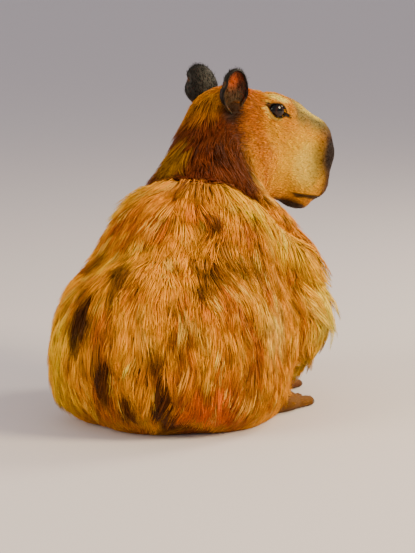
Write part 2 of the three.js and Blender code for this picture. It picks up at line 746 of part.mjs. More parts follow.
function makeHead() {
  const corner = (pick) =>
    [0, 1, 2].map((axis) => {
      const ends = [-100, 225].flatMap((x) =>
        [-95, 95].flatMap((y) =>
          [-140, 95].map((z) => vector([x, y, z]).applyMatrix4(headFrame).getComponent(axis)),
        ),
      );
      return pick(...ends);
    });
  const surface = solid(surfaceOf(coated, corner(Math.min), corner(Math.max), HEAD_CELL)).simplify(HEAD_DETAIL);
  let body = beyond(beyond(surface, neckCutPoint, neckCutNormal), shoulderCutPoint, shoulderCutNormal);
  for (const cut of mouthCuts()) body = body.subtract(cut);
  for (const [label, side] of sides) {
    const ear = earSolid(side);
    const tip = beyond(ear.whole, ear.cutPoint, ear.cutNormal);
    body = body.add(beyond(ear.whole, ear.cutPoint, ear.cutNormal.clone().negate()));
    addNode(`ear_${label}`, tip, "ear");
    const { eye, socket, lids, opening } = eyeParts(side);
    body = body.add(lids).subtract(opening).subtract(socket);
    addNode(`eye_${label}`, eye, "eye");
  }
  addNode("head", body, "face");
}

makeTrunk();
makeNeck();
makeHead();
for (const [label, side] of sides) {
  makeHaunch(label, side);
  makeForeLeg(label, side);
  makeFeet(label, side);
}

export default capybara;
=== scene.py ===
import json
import math

import bpy
import numpy as np
from mathutils import Matrix, Vector, kdtree

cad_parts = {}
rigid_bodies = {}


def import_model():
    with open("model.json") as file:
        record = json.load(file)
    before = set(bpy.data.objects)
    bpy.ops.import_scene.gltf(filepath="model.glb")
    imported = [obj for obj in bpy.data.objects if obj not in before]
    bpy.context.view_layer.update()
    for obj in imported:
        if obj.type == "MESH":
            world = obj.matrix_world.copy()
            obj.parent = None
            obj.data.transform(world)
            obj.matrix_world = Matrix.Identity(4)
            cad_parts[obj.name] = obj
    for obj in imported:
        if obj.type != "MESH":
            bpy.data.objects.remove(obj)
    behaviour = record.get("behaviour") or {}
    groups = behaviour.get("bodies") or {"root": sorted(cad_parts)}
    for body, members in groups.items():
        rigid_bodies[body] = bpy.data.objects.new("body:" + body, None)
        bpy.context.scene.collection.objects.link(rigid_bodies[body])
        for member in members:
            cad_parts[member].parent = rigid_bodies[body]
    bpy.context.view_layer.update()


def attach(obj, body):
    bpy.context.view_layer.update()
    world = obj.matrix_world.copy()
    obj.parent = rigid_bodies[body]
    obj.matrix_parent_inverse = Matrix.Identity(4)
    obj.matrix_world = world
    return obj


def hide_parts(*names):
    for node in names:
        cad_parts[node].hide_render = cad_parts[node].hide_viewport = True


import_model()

# The body under the coat: rump, trunk, haunches, legs, neck and head, in one skin.
# It is flesh with a tough hide. Rounded forms stand for the muscles, and each one blends softly
# into the next; sizes are in millimetres and turn to metres only when a mesh is made.
MM = 0.001
BODY = Matrix.Identity(4)
SIDES = (("left", 1), ("right", -1))

HEAD_TURN = math.radians(40)
HEAD_PITCH = math.radians(19)
HEAD_SCALE = 1.1
CRANIUM_CENTRE = (-20, -385, 536)


def head_frame():
    """The head's own axes: forward, left and up, from the middle of the cranium."""
    level = math.cos(HEAD_PITCH)
    forward = Vector((-math.sin(HEAD_TURN) * level, -math.cos(HEAD_TURN) * level, -math.sin(HEAD_PITCH)))
    left = Vector((math.cos(HEAD_TURN), -math.sin(HEAD_TURN), 0))
    turn = Matrix((forward, left, forward.cross(left))).transposed().to_4x4()
    return Matrix.Translation(CRANIUM_CENTRE) @ turn @ Matrix.Scale(HEAD_SCALE, 4)


HEAD = head_frame()
blanks = []


def local_points(points, place):
    """The points as a placed form sees them."""
    back = np.array(place.inverted())
    return points @ back[:3, :3].T + back[:3, 3]


def ball(centre, radii, base=BODY, roll=0, blank=True):
    """The distance to an ellipsoid; its blank is the ball that stands for it in the rough body."""
    place = base @ Matrix.Translation(centre) @ Matrix.Rotation(roll, 4, "X")
    if blank:
        blanks.append(place @ Matrix.Diagonal((*radii, 1)))
    reach = np.array(radii, float)
    scale = base.median_scale

    def distance(points):
        local = local_points(points, place)
        near = np.linalg.norm(local / reach, axis=1)
        slope = np.linalg.norm(local / reach**2, axis=1)
        return scale * near * (near - 1) / np.maximum(slope, 1e-9)

    return distance


def block(centre, halves, radius, base):
    """The distance to a box with rounded edges."""
    place = base @ Matrix.Translation(centre)
    blanks.append(place @ Matrix.Diagonal((*halves, 1)))
    core = np.array(halves, float) - radius
    scale = base.median_scale

    def distance(points):
        past = np.abs(local_points(points, place)) - core
        outside = np.linalg.norm(np.maximum(past, 0), axis=1)
        return scale * (outside + np.minimum(past.max(axis=1), 0) - radius)

    return distance


LIMB_BLANKS = 5


def limb(start, start_radius, end, end_radius, base=BODY):
    """The distance to a limb between two balls, tapering from one radius to the other."""
    scale = base.median_scale
    a, b = base @ Vector(start), base @ Vector(end)
    for share in np.linspace(0, 1, LIMB_BLANKS):
        radius = scale * (start_radius + share * (end_radius - start_radius))
        blanks.append(Matrix.Translation(a.lerp(b, share)) @ Matrix.Scale(radius, 4))
    origin, along = np.array(a), np.array(b - a)

    def distance(points):
        share = np.clip((points - origin) @ along / (along @ along), 0, 1)
        gap = np.linalg.norm(points - origin - share[:, None] * along, axis=1)
        return gap - scale * (start_radius + share * (end_radius - start_radius))

    return distance


def blended(soft, *fields):
    """One form from several, each running softly into the next."""

    def distance(points):
        near = fields[0](points)
        for field in fields[1:]:
            other = field(points)
            overlap = np.maximum(soft - np.abs(near - other), 0) / soft
            near = np.minimum(near, other) - overlap**2 * soft / 4
        return near

    return distance


def carved(soft, field, *cuts):
    """A form with others cut out of it, their edges softened."""

    def distance(points):
        near = field(points)
        for cut in cuts:
            other = -cut(points)
            overlap = np.maximum(soft - np.abs(near - other), 0) / soft
            near = np.maximum(near, other) + overlap**2 * soft / 4
        return near

    return distance


def on_side(at, side):
    return (at[0] * side, at[1], at[2])


def in_head(at):
    return tuple(HEAD @ Vector(at))


RUMP_HALF_WIDTH = 168
TRUNK_HALF_WIDTH = 172
BACK_HEIGHT = 432
HAUNCH_REACH = 205
NECK_BASE_RADIUS = 122
NECK_TOP_RADIUS = 64
ELBOW = (162, -306, 168)
WRIST = (112, -368, 48)
SHOULDER = (112, -300, 282)
HEEL = (140, -60, 24)
BALL_OF_FOOT = (176, -222, 20)
NECK_BASE = (0, -272, 345)


def trunk_field():
    return blended(
        55,
        ball((0, 10, 152), (RUMP_HALF_WIDTH, 150, 158)),
        ball((0, -30, 84), (RUMP_HALF_WIDTH + 12, 138, 90)),
        ball((0, -135, 198), (TRUNK_HALF_WIDTH, 172, 185)),
        ball((0, -185, BACK_HEIGHT - 162), (158, 174, 166)),
        ball((0, -292, 262), (128, 112, 150)),
        ball((0, -245, BACK_HEIGHT - 92), (112, 116, 88)),
    )


def neck_field():
    return blended(
        40,
        limb(NECK_BASE, NECK_BASE_RADIUS, in_head((-26, 0, -14)), NECK_TOP_RADIUS),
        limb((0, -335, 285), 96, in_head((22, 0, -66)), 62),
    )


def hind_leg_field(side):
    return blended(
        40,
        ball(on_side((HAUNCH_REACH - 80, -68, 138), side), (80, 148, 143)),
        ball(on_side((HAUNCH_REACH - 84, -90, 66), side), (86, 142, 76)),
        ball(on_side((HAUNCH_REACH - 54, -186, 152), side), (54, 62, 78)),
        limb(on_side(HEEL, side), 25, on_side(BALL_OF_FOOT, side), 21),
    )


def foreleg_field(side):
    return blended(
        32,
        ball(on_side(SHOULDER, side), (60, 80, 102)),
        limb(on_side((142, -308, 262), side), 64, on_side(ELBOW, side), 56),
        limb(on_side(ELBOW, side), 55, on_side(WRIST, side), 33),
    )


def both(centre, radii):
    return [ball((centre[0], centre[1] * side, centre[2]), radii, HEAD) for _, side in SIDES]


def head_field():
    return blended(
        16,
        ball((2, 0, 0), (74, 58, 66), HEAD),
        *both((54, 31, 48), (42, 19, 24)),
        ball((94, 0, 28), (66, 38, 47), HEAD),
        ball((154, 0, 23), (50, 38, 37), HEAD),
        *both((20, 32, -50), (72, 36, 58)),
        block((118, 0, -22), (84, 43, 62), 36, HEAD),
        block((182, 0, -30), (31, 42, 52), 28, HEAD),
        *both((164, 24, -60), (44, 26, 36)),
        limb((50, 0, -78), 40, (150, 0, -82), 24, HEAD),
        ball((170, 0, -96), (28, 26, 17), HEAD),
    )


FORE_TOE_LENGTHS = (40, 52, 54, 42)
FORE_TOE_TURN = math.radians(10.5)
FORE_TOE_APART = 13
FORE_TOE_THICK = 11
FORE_TOE_THIN = 7.5
FORE_KNUCKLE_HEIGHT = 13
FORE_PALM = (110, -388, 17)
HIND_TOE_LENGTHS = (56, 68, 54)
HIND_TOE_TURN = math.radians(15)
HIND_TOE_OUT = math.radians(8)
HIND_TOE_APART = 17
HIND_TOE_THICK = 14
HIND_TOE_THIN = 9.5
HIND_TOE_HEIGHT = 9
HIND_KNUCKLE_HEIGHT = 14


def fore_toes(side):
    """Start and end of each front toe."""
    toes = []
    for number, length in enumerate(FORE_TOE_LENGTHS):
        place = number - 1.5
        turn = place * FORE_TOE_TURN
        x, y = FORE_PALM[0] + place * FORE_TOE_APART, FORE_PALM[1] - 8
        end = (x + math.sin(turn) * length, y - math.cos(turn) * length, FORE_TOE_THIN)
        toes.append((on_side((x, y, FORE_KNUCKLE_HEIGHT), side), on_side(end, side)))
    return toes


def hind_toes(side):
    """Start and end of each hind toe."""
    toes = []
    for number, length in enumerate(HIND_TOE_LENGTHS):
        turn = HIND_TOE_OUT + (number - 1) * HIND_TOE_TURN
        x, y = BALL_OF_FOOT[0] + (number - 1) * HIND_TOE_APART, BALL_OF_FOOT[1] - 4
        end = (x + math.sin(turn) * length, y - math.cos(turn) * length, HIND_TOE_HEIGHT)
        toes.append((on_side((x, y, HIND_KNUCKLE_HEIGHT), side), on_side(end, side)))
    return toes


def feet_field():
    forms = []
    for _, side in SIDES:
        forms.append(ball(on_side(FORE_PALM, side), (30, 34, 18)))
        forms += [limb(start, FORE_TOE_THICK, end, FORE_TOE_THIN) for start, end in fore_toes(side)]
        forms.append(ball(on_side((BALL_OF_FOOT[0], BALL_OF_FOOT[1] + 4, 16), side), (34, 40, 18)))
        forms += [limb(start, HIND_TOE_THICK, end, HIND_TOE_THIN) for start, end in hind_toes(side)]
    return blended(7, *forms)


LIMBS_SOFT = 38
HEAD_SOFT = 26
FEET_SOFT = 12
head = head_field()
feet = feet_field()
body = blended(
    LIMBS_SOFT,
    trunk_field(),
    neck_field(),
    *[part(side) for _, side in SIDES for part in (hind_leg_field, foreleg_field)],
)


NAPE_PLACE = -165
NAPE_HEIGHT = 448
NAPE_SPREAD = 0.52
NAPE_LEAN = 1.92
NAPE_STEEPNESS = 2.22


def past_shoulders(points):
    """How far a place lies in front of the line where the neck comes out of the shoulders."""
    x, y, z = points.T
    line = NAPE_HEIGHT + NAPE_SPREAD * np.abs(x) + NAPE_LEAN * (y - NAPE_PLACE)
    return (z - line) / NAPE_STEEPNESS


def hump(value, middle, width):
    """1 at a middle, falling softly to 0 on both sides of it."""
    return np.exp(-(((value - middle) / width) ** 2))


FOLD_DEPTH = 9
FOLD_WIDTH = 12
CAPE_HEIGHT = 5
CAPE_WIDTH = 18


def folded(field):
    """The fold where the neck turns back over the shoulders, with the full cape behind it."""

    def distance(points):
        past = past_shoulders(points)
        fold = FOLD_DEPTH * hump(past, 12, FOLD_WIDTH) - CAPE_HEIGHT * hump(past, -20, CAPE_WIDTH)
        share = np.clip((points[:, 2] - 230) / 90, 0, 1) * np.clip(head(points) / 40, 0, 1)
        return field(points) + fold * share

    return distance


flesh = folded(blended(FEET_SOFT, blended(HEAD_SOFT, body, head), feet))

EYE_CENTRE = (52, 37, 42)
EYE_RADIUS = 18
LID_THICKNESS = 2.2
EYE_HALF_LENGTH = 19
EYE_HALF_HEIGHT = 10.5
EYE_SLANT = math.radians(8)
LID_INNER_EDGE = 5
LIDS_SOFT = 5


def eye_frame(side):
    """Forward, left and up at one eyeball."""
    return HEAD @ Matrix.Translation((EYE_CENTRE[0], EYE_CENTRE[1] * side, EYE_CENTRE[2]))


def lid_opening(side):
    """The almond between the lids, drawn by two arcs that meet at its corners."""
    arc = (EYE_HALF_LENGTH**2 + EYE_HALF_HEIGHT**2) / (2 * EYE_HALF_HEIGHT)
    place = eye_frame(side) @ Matrix.Rotation(EYE_SLANT, 4, "Y")

    def distance(points):
        x, y, z = local_points(points, place).T
        upper = np.hypot(x, z + arc - EYE_HALF_HEIGHT) - arc
        lower = np.hypot(x, z - arc + EYE_HALF_HEIGHT) - arc
        return HEAD_SCALE * np.maximum(np.maximum(upper, lower), LID_INNER_EDGE - y * side)

    return distance


MOUTH_CENTRE = (168, 0, -88)
MOUTH_SLOPE = math.radians(-10)
MOUTH_LENGTH = 52
MOUTH_HALF_WIDTH = 1.1
mouth_room = ball((140, 0, -88), (52, 35, 30), HEAD, blank=False)


def mouth_groove(points):
    """The line between the lips, some millimetres deep, round the front of the muzzle."""
    place = HEAD @ Matrix.Translation(MOUTH_CENTRE) @ Matrix.Rotation(MOUTH_SLOPE, 4, "Y")
    x, _, z = local_points(points, place).T
    line = np.maximum(np.abs(z) - MOUTH_HALF_WIDTH, -MOUTH_LENGTH - x)
    return HEAD_SCALE * np.maximum(line, -mouth_room(points) / HEAD_SCALE)


NOSTRIL_ROLL = math.radians(35)
CARVING_SOFT = 1.6


def lid(side):
    """The bulge of the lids over an eyeball."""
    return ball((0, 0, 0), [EYE_RADIUS + LID_THICKNESS] * 3, eye_frame(side), blank=False)


def nostril(side):
    return ball((207, side * 20, 10), (12, 9, 5), HEAD, side * NOSTRIL_ROLL, blank=False)


lids = [lid(side) for _, side in SIDES]
nostrils = [nostril(side) for _, side in SIDES]
lip_cleft = ball((215, 0, -44), (8, 2.2, 32), HEAD, blank=False)
surface = carved(
    CARVING_SOFT,
    blended(LIDS_SOFT, flesh, *lids),
    *[lid_opening(side) for _, side in SIDES],
    *nostrils,
    lip_cleft,
    mouth_groove,
)

SLOPE_STEP = 0.6
CORNERS = np.array([(1, -1, -1), (-1, -1, 1), (-1, 1, -1), (1, 1, 1)], float)


def slope_of(field, points):
    """The direction in which a field grows, and how fast."""
    total = sum(corner * field(points + SLOPE_STEP * corner)[:, None] for corner in CORNERS)
    return total / (4 * SLOPE_STEP)


def unit(vectors):
    return vectors / np.maximum(np.linalg.norm(vectors, axis=1, keepdims=True), 1e-9)


def settle(field, points, height=0, turns=1):
    """Moves points along the slope until they lie at a height over the field's surface."""
    for _ in range(turns):
        slope = slope_of(field, points)
        away = field(points) - height
        points = points - slope * (away / np.maximum((slope**2).sum(axis=1), 0.05))[:, None]
    return points


def deselect():
    for other in list(bpy.context.selected_objects):
        other.select_set(False)


def select_only(piece):
    deselect()
    piece.select_set(True)
    bpy.context.view_layer.objects.active = piece


def apply_modifier(piece, kind, **settings):
    """Adds one modifier, gives it its settings and applies it."""
    select_only(piece)
    modifier = piece.modifiers.new(kind.lower(), kind)
    for name, value in settings.items():
        setattr(modifier, name, value)
    bpy.ops.object.modifier_apply(modifier=modifier.name)


def points_of(mesh):
    flat = np.empty(len(mesh.vertices) * 3)
    mesh.vertices.foreach_get("co", flat)
    return flat.reshape(-1, 3) / MM


def move_points(mesh, points):
    mesh.vertices.foreach_set("co", (points * MM).ravel())
    mesh.update()


ROUGH_VOXEL = 8
SKIN_VOXEL = 4.5


def rough_body():
    """Balls at every form of the flesh, joined to one object."""
    deselect()
    for blank in blanks:
        bpy.ops.mesh.primitive_uv_sphere_add(segments=24, ring_count=16, radius=1)
        bpy.context.object.data.transform(Matrix.Scale(MM, 4) @ blank)
        bpy.context.object["blank"] = True
    for other in bpy.context.scene.objects:
        other.select_set("blank" in other)
    bpy.ops.object.join()
    joined = bpy.context.object
    joined.name = "skin"
    joined.data.name = "skin"
    return joined


skin = rough_body()
apply_modifier(skin, "REMESH", mode="VOXEL", voxel_size=ROUGH_VOXEL * MM)
move_points(skin.data, settle(flesh, points_of(skin.data), turns=4))
apply_modifier(skin, "REMESH", mode="VOXEL", voxel_size=SKIN_VOXEL * MM)
move_points(skin.data, settle(flesh, points_of(skin.data), turns=3))


def subdivide_near(piece, near):
    """Splits the faces whose corners all answer to a test of their places."""
    select_only(piece)
    keep = near(points_of(piece.data))
    bpy.ops.object.mode_set(mode="EDIT")
    bpy.ops.mesh.select_mode(type="VERT")
    bpy.ops.mesh.select_all(action="DESELECT")
    bpy.ops.object.mode_set(mode="OBJECT")
    piece.data.vertices.foreach_set("select", keep)
    bpy.ops.object.mode_set(mode="EDIT")
    bpy.ops.mesh.subdivide(number_cuts=1)
    bpy.ops.object.mode_set(mode="OBJECT")


FEATURE_REACH = 9


def near_features(points):
    """On the lids, the nostrils, the cleft and the line of the mouth."""
    features = [*lids, *nostrils, lip_cleft, mouth_groove]
    return np.min([feature(points) for feature in features], axis=0) < FEATURE_REACH


for _ in range(2):
    subdivide_near(skin, near_features)
    move_points(skin.data, settle(flesh, points_of(skin.data)))
move_points(skin.data, settle(surface, points_of(skin.data), turns=5))


SOLE_HEIGHT = 0.4


def flatten_soles(piece):
    """What lies on the floor is flat, and nothing goes below it."""
    points = points_of(piece.data)
    points[:, 2] = np.maximum(points[:, 2], SOLE_HEIGHT)
    move_points(piece.data, points)


flatten_soles(skin)
skin.data.shade_smooth()

# The markings of hide and hair: golden brown, with dark patches on the back that are in part painted shadow,
# painted shade in the fold behind the neck, and painted highlights and rim light on the flanks, cape and
# muzzle.
# Each mark is a soft ball of colour in the body, and hide and hair both take theirs from here.
GOLD = "#E89A00"
BRONZE = "#B86200"
UMBER = "#3E1800"
SOOT = "#0C0604"
YELLOW = "#FFC000"
CREAM = "#FFE060"
PEACH = "#FFC04A"
RUST = "#D85A00"
MAROON = "#541600"
OLIVE = "#82743A"
SHADE = "#241004"


def linear(hex_colour):
    """An sRGB hex colour as linear red, green and blue."""
    parts = [int(hex_colour[at : at + 2], 16) / 255 for at in (1, 3, 5)]
    return np.array([p / 12.92 if p <= 0.04045 else ((p + 0.055) / 1.055) ** 2.4 for p in parts])


def opaque(hex_colour):
    return (*linear(hex_colour), 1)


def lattice(cells, seed):
    """A steady random number for each cell of a grid."""
    mixed = (cells * np.array([73856093, 19349663, 83492791])).sum(axis=1) + seed * 2654435761
    mixed = (mixed ^ (mixed >> 13)) * 1274126177 & 0xFFFFFFFF
    return ((mixed ^ (mixed >> 16)) & 0xFFFF) / 65535


def noise(points, size, seed):
    """Soft noise from 0 to 1 whose lumps are about one size across."""
    at = points / size
    cell = np.floor(at).astype(np.int64)
    part = at - cell
    part = part * part * (3 - 2 * part)
    total = np.zeros(len(points))
    for corner in np.ndindex(2, 2, 2):
        step = np.array(corner)
        weight = np.prod(np.where(step, part, 1 - part), axis=1)
        total += weight * lattice(cell + step, seed)
    return total


def smooth(value, low, high):
    """0 up to a low value, 1 from a high one, and a soft step between them."""
    share = np.clip((value - low) / (high - low), 0, 1)
    return share * share * (3 - 2 * share)


def paired(place, *rest):
    """The same mark on both sides of the head."""
    return [((place[0], place[1] * side, place[2]), *rest) for side in (-1, 1)]


# Each mark has its place, its reach, its colour and its strength.
BODY_MARKS = [
    ((0, -90, 420), (110, 80, 40), RUST, 0.15),
    ((44, -262, 484), (26, 60, 60), YELLOW, 0.25),
    # Painted rim light: yellow with a cream edge down the right flank beside the foreleg.
    ((-222, -300, 215), (60, 70, 90), YELLOW, 0.9),
    ((-246, -312, 215), (44, 70, 84), CREAM, 0.9),
    ((-234, -300, 120), (70, 80, 60), YELLOW, 0.9),
    # Painted highlight: a peach patch on the right flank.
    ((-199, -95, 232), (30, 64, 66), PEACH, 0.95),
    ((-165, -60, 250), (40, 50, 60), YELLOW, 0.4),
    ((-165, 75, 74), (46, 60, 70), RUST, 0.7),
    ((-120, 110, 90), (30, 50, 50), RUST, 0.4),
    # Painted rim light: yellow along the left haunch.
    ((160, 70, 150), (70, 90, 150), YELLOW, 0.8),
    ((70, 30, 360), (60, 70, 50), YELLOW, 0.5),
    # Mirrored and weaker copies of the painted highlight and painted rim light of the right side.
    ((199, -95, 232), (30, 64, 66), PEACH, 0.6),
    ((222, -300, 215), (50, 60, 80), YELLOW, 0.6),
    ((234, -300, 120), (70, 80, 60), YELLOW, 0.6),
    ((0, -430, 260), (110, 70, 130), YELLOW, 0.4),
]
# The dark patches, in part painted shadow on the left haunch and in the cleft of the rump, have their place,
# their reach and their strength.
DARK_AND_SHADOW_MARKS = [
    ((95, 107, 245), (31, 60, 56), 0.95),
    ((33, 59, 308), (24, 60, 36), 0.8),
    ((42, 161, 143), (29, 60, 56), 0.85),
    ((-2, 151, 84), (28, 60, 44), 0.9),
    ((-62, 164, 184), (18, 60, 46), 0.85),
    ((-80, 140, 100), (30, 60, 66), 0.95),
    ((-77, 90, 34), (34, 70, 34), 0.95),
    ((-97, 17, 301), (20, 60, 38), 0.7),
    ((-70, -75, 394), (28, 46, 24), 0.7),
    ((-135, -58, 322), (28, 50, 22), 0.7),
    ((-164, -116, 310), (22, 40, 26), 0.65),
    ((120, -20, 330), (24, 60, 40), 0.6),
    ((165, -60, 200), (40, 60, 50), 0.5),
]
# The marks of the head are placed in its own axes.
HEAD_MARKS = [
    ((6, 0, 58), (40, 60, 24), RUST, 0.35),
    # Painted shade: darker brown on each cheek and in front of each ear.
    *paired((20, 56, -40), (44, 30, 60), BRONZE, 0.75),
    *paired((2, 50, 30), (36, 34, 44), BRONZE, 0.85),
    ((144, 0, 50), (78, 62, 32), OLIVE, 0.95),
    # Painted highlights: a cream line along the top of the muzzle, and a yellow patch with a cream spot on
    # each side of it.
    *paired((150, 14, 62), (66, 16, 13), CREAM, 0.8),
    *paired((134, 44, -38), (66, 34, 72), YELLOW, 0.8),
    *paired((146, 46, -34), (30, 30, 46), CREAM, 0.6),
    # Painted shade: dark brown at the base of each ear, running on from the painted shade of the neck.
    *paired((-37, 56, 18), (24, 20, 28), SHADE, 0.9),
    *paired((64, 50, 4), (26, 24, 34), YELLOW, 0.4),
    *paired((54, 42, 64), (28, 18, 6), CREAM, 0.95),
    ((210, 0, -4), (60, 160, 66), SHADE, 1.0),
    ((212, 0, -60), (26, 120, 44), UMBER, 0.9),
    ((164, 0, -112), (54, 60, 15), SHADE, 0.95),
    ((122, -60, -136), (44, 60, 24), CREAM, 0.9),
    ((122, 60, -136), (44, 60, 24), CREAM, 0.6),
]


def near_mark(points, centre, reach, wobble):
    """1 in the middle of a mark and 0 well outside it, with a ragged edge."""
    away = np.linalg.norm((points - centre) / reach, axis=1) + wobble
    return 1 - smooth(away, 0.45, 1.25)


def shoulder_rim(points):
    """The edge of the long body hair, just behind the line of the shoulders."""
    return hump(past_shoulders(points), -10, 13) * smooth(points[:, 2], 240, 330)


def eye_rims(points):
    """The bare black skin round each eye, drawn out at both corners, and the pale line under it."""
    rims, lines = [], []
    for _, side in SIDES:
        x, _, z = local_points(points, eye_frame(side)).T
        front_corner = np.hypot((x - 26) / 13, (z + 2 + 0.12 * (x - 24)) / 3.4)
        rear_corner = np.hypot((x + 20) / 8, (z - 4 + 0.3 * (x + 20)) / 4.6)
        near_eye = smooth(local_points(points, HEAD)[:, 1] * side, 20, 34)
        opening = lid_opening(side)(points)
        corners = smooth(np.minimum(front_corner, rear_corner), 0.7, 1.2)
        rims.append(np.maximum(1 - smooth(opening, 2.2, 4.6), 1 - corners) * near_eye)
        lines.append(hump(opening, 6.6, 1.7) * near_eye * smooth(-z - 0.6 * x, -2, 5))
    return np.max(rims, axis=0), np.max(lines, axis=0)


def tinted(colour, tint, share):
    """A colour turned towards a tint, by a share at each point."""
    return colour + (linear(tint) - colour) * share[:, None]


BODY_ROUGHNESS = 1
HEAD_ROUGHNESS = 0.35


def markings(points):
    """The colour of hide and hair at each place, in linear red, green and blue, painted shade and highlights
    included.
    """
    streak = noise(points * (1, 1, 0.2), 8, 3)
    drift = noise(points * (1, 1, 0.45), 46, 5)
    wobble = (noise(points * (1, 1, 0.3), 16, 7) - 0.5) * 0.9
    inward = local_points(points, HEAD)
    past = past_shoulders(points) + 26 * wobble
    # Painted shade: maroon in the fold where the neck turns in under the cape, fading out towards the head
    # and lower down.
    neck_painted_shade = smooth(past, -2, 8) * (1 - smooth(past, 150, 250)) * smooth(points[:, 2], 320, 390)
    neck_painted_shade *= 1 - smooth(inward[:, 0], -30, 34)
    shares = [(MAROON, 0.95 * neck_painted_shade)]
    marks = [(points, *mark, BODY_ROUGHNESS) for mark in BODY_MARKS]
    marks += [(points, *at, UMBER, strength, BODY_ROUGHNESS) for *at, strength in DARK_AND_SHADOW_MARKS]
    marks += [(inward, *mark, HEAD_ROUGHNESS) for mark in HEAD_MARKS]
    for places, centre, reach, tint, strength, rough in marks:
        shares.append((tint, strength * near_mark(places, centre, reach, wobble * rough)))
    # Painted highlight: a yellow rim along the edge of the cape on each side, just behind the painted shade
    # of the fold.
    cape = hump(past, -22, 28) * smooth(points[:, 2], 240, 330)
    shares.append((YELLOW, 0.9 * cape * smooth(np.abs(points[:, 0]), 40, 110)))
    low = 1 - smooth(points[:, 2], 20, 70)
    shares.append((UMBER, 0.75 * low * (1 - smooth(feet(points), 4, 30))))
    eye_black, eye_line = eye_rims(points)
    shares += [(CREAM, 0.8 * eye_line), (SOOT, eye_black)]
    shares.append((SOOT, 0.85 * (1 - smooth(mouth_groove(points), 1.5, 5))))
    colour = tinted(linear(BRONZE), GOLD, smooth(streak * 0.6 + drift * 0.7, 0.3, 0.85))
    for tint, share in shares:
        colour = tinted(colour, tint, share)
    return colour


def paint(mesh, colours):
    """Stores a colour for each point of a mesh."""
    layer = mesh.color_attributes.new("marking", "FLOAT_COLOR", "POINT")
    full = np.ones((len(colours), 4), np.float32)
    full[:, :3] = np.clip(colours, 0, 1)
    layer.data.foreach_set("color", full.ravel())


def set_inputs(tree, node, **inputs):
    """Joins each named input of a node to an output, or gives it a value."""
    for name, value in inputs.items():
        socket = next(s for s in node.inputs if s.name.replace(" ", "_") == name)
        if isinstance(value, bpy.types.NodeSocket):
            tree.links.new(value, socket)
        else:
            socket.default_value = value


def add_node(tree, kind, settings=None, **inputs):
    """Adds one node with its settings and its inputs."""
    node = tree.nodes.new(kind)
    for name, value in (settings or {}).items():
        setattr(node, name, value)
    set_inputs(tree, node, **inputs)
    return node


def new_material(name):
    """A material with its shader and an empty tree to build on."""
    material = bpy.data.materials.new(name)
    material.use_nodes = True
    tree = material.node_tree
    return material, tree, tree.nodes["Principled BSDF"]


HIDE_GRAIN = 2.2
HIDE_SHARE = 0.6


def hide_material():
    """Rough hide with short flat hair: matte, with a fine grain of noise in its colour and its bump."""
    material, tree, shader = new_material("haired_hide")
    colour = add_node(tree, "ShaderNodeVertexColor", {"layer_name": "marking"})
    place = add_node(tree, "ShaderNodeTexCoord")
    scale = 1 / (HIDE_GRAIN * MM)
    grain = add_node(tree, "ShaderNodeTexNoise", Vector=place.outputs["Object"], Scale=scale, Detail=3.0)
    shade = add_node(tree, "ShaderNodeMapRange", Value=grain.outputs["Fac"], To_Min=0.55, To_Max=1.15)
    tint = add_node(tree, "ShaderNodeMixRGB", {"blend_type": "MULTIPLY"}, Fac=1.0)
    set_inputs(tree, tint, Color1=colour.outputs["Color"], Color2=shade.outputs["Result"])
    bump = add_node(tree, "ShaderNodeBump", Height=grain.outputs["Fac"], Strength=0.5, Distance=0.5 * MM)
    set_inputs(tree, shader, Base_Color=tint.outputs["Color"], Normal=bump.outputs["Normal"])
    set_inputs(tree, shader, Roughness=0.78, Specular_IOR_Level=0.25)
    return material


hide = hide_material()
skin.data.materials.clear()
skin.data.materials.append(hide)
paint(skin.data, markings(points_of(skin.data)) * HIDE_SHARE)


def unwrap(piece):
    """Unfolds a piece on the map that the hair's colours are kept on."""
    select_only(piece)
    piece.data.uv_layers.new(name="OFBake")
    bpy.ops.object.mode_set(mode="EDIT")
    bpy.ops.mesh.select_all(action="SELECT")
    bpy.ops.uv.smart_project(angle_limit=math.radians(75), island_margin=0.002)
    bpy.ops.object.mode_set(mode="OBJECT")


unwrap(skin)
PAIRED_PARTS = ("haunch", "foreleg", "forefoot", "hindfoot")
FLESH_NODES = ["torso", "neck", "head"]
FLESH_NODES += [f"{part}_{label}" for part in PAIRED_PARTS for label, _ in SIDES]
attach(skin, "root")
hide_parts(*FLESH_NODES)

# The eyes: wet globes set deep between the lids, nearly black with a brown iris.
# Each is one polished ball with a slightly raised cornea.
EYE_IRIS = "#2A1408"
EYE_BLACK = "#040303"
IRIS_RADIUS = 9
PUPIL_RADIUS = 5
IRIS_EDGE = 3
CORNEA_RISE = 0.8


def new_ball(name, segments, rings):
    """A ball of radius 1 round the origin, its faces sorted, because they come in a new order each time."""
    deselect()
    bpy.ops.mesh.primitive_uv_sphere_add(segments=segments, ring_count=rings, radius=1)
    piece = bpy.context.object
    piece.name = name
    points = [point.co.copy() for point in piece.data.vertices]
    faces = []
    for face in piece.data.polygons:
        corners = list(face.vertices)
        first = corners.index(min(corners))
        faces.append(corners[first:] + corners[:first])
    piece.data.clear_geometry()
    piece.data.from_pydata(points, [], sorted(faces))
    return piece


def place_mesh(mesh, place):
    """Takes a mesh that is shaped round the origin to its place on the animal."""
    mesh.transform(Matrix.Scale(MM, 4) @ place @ Matrix.Scale(1 / MM, 4))


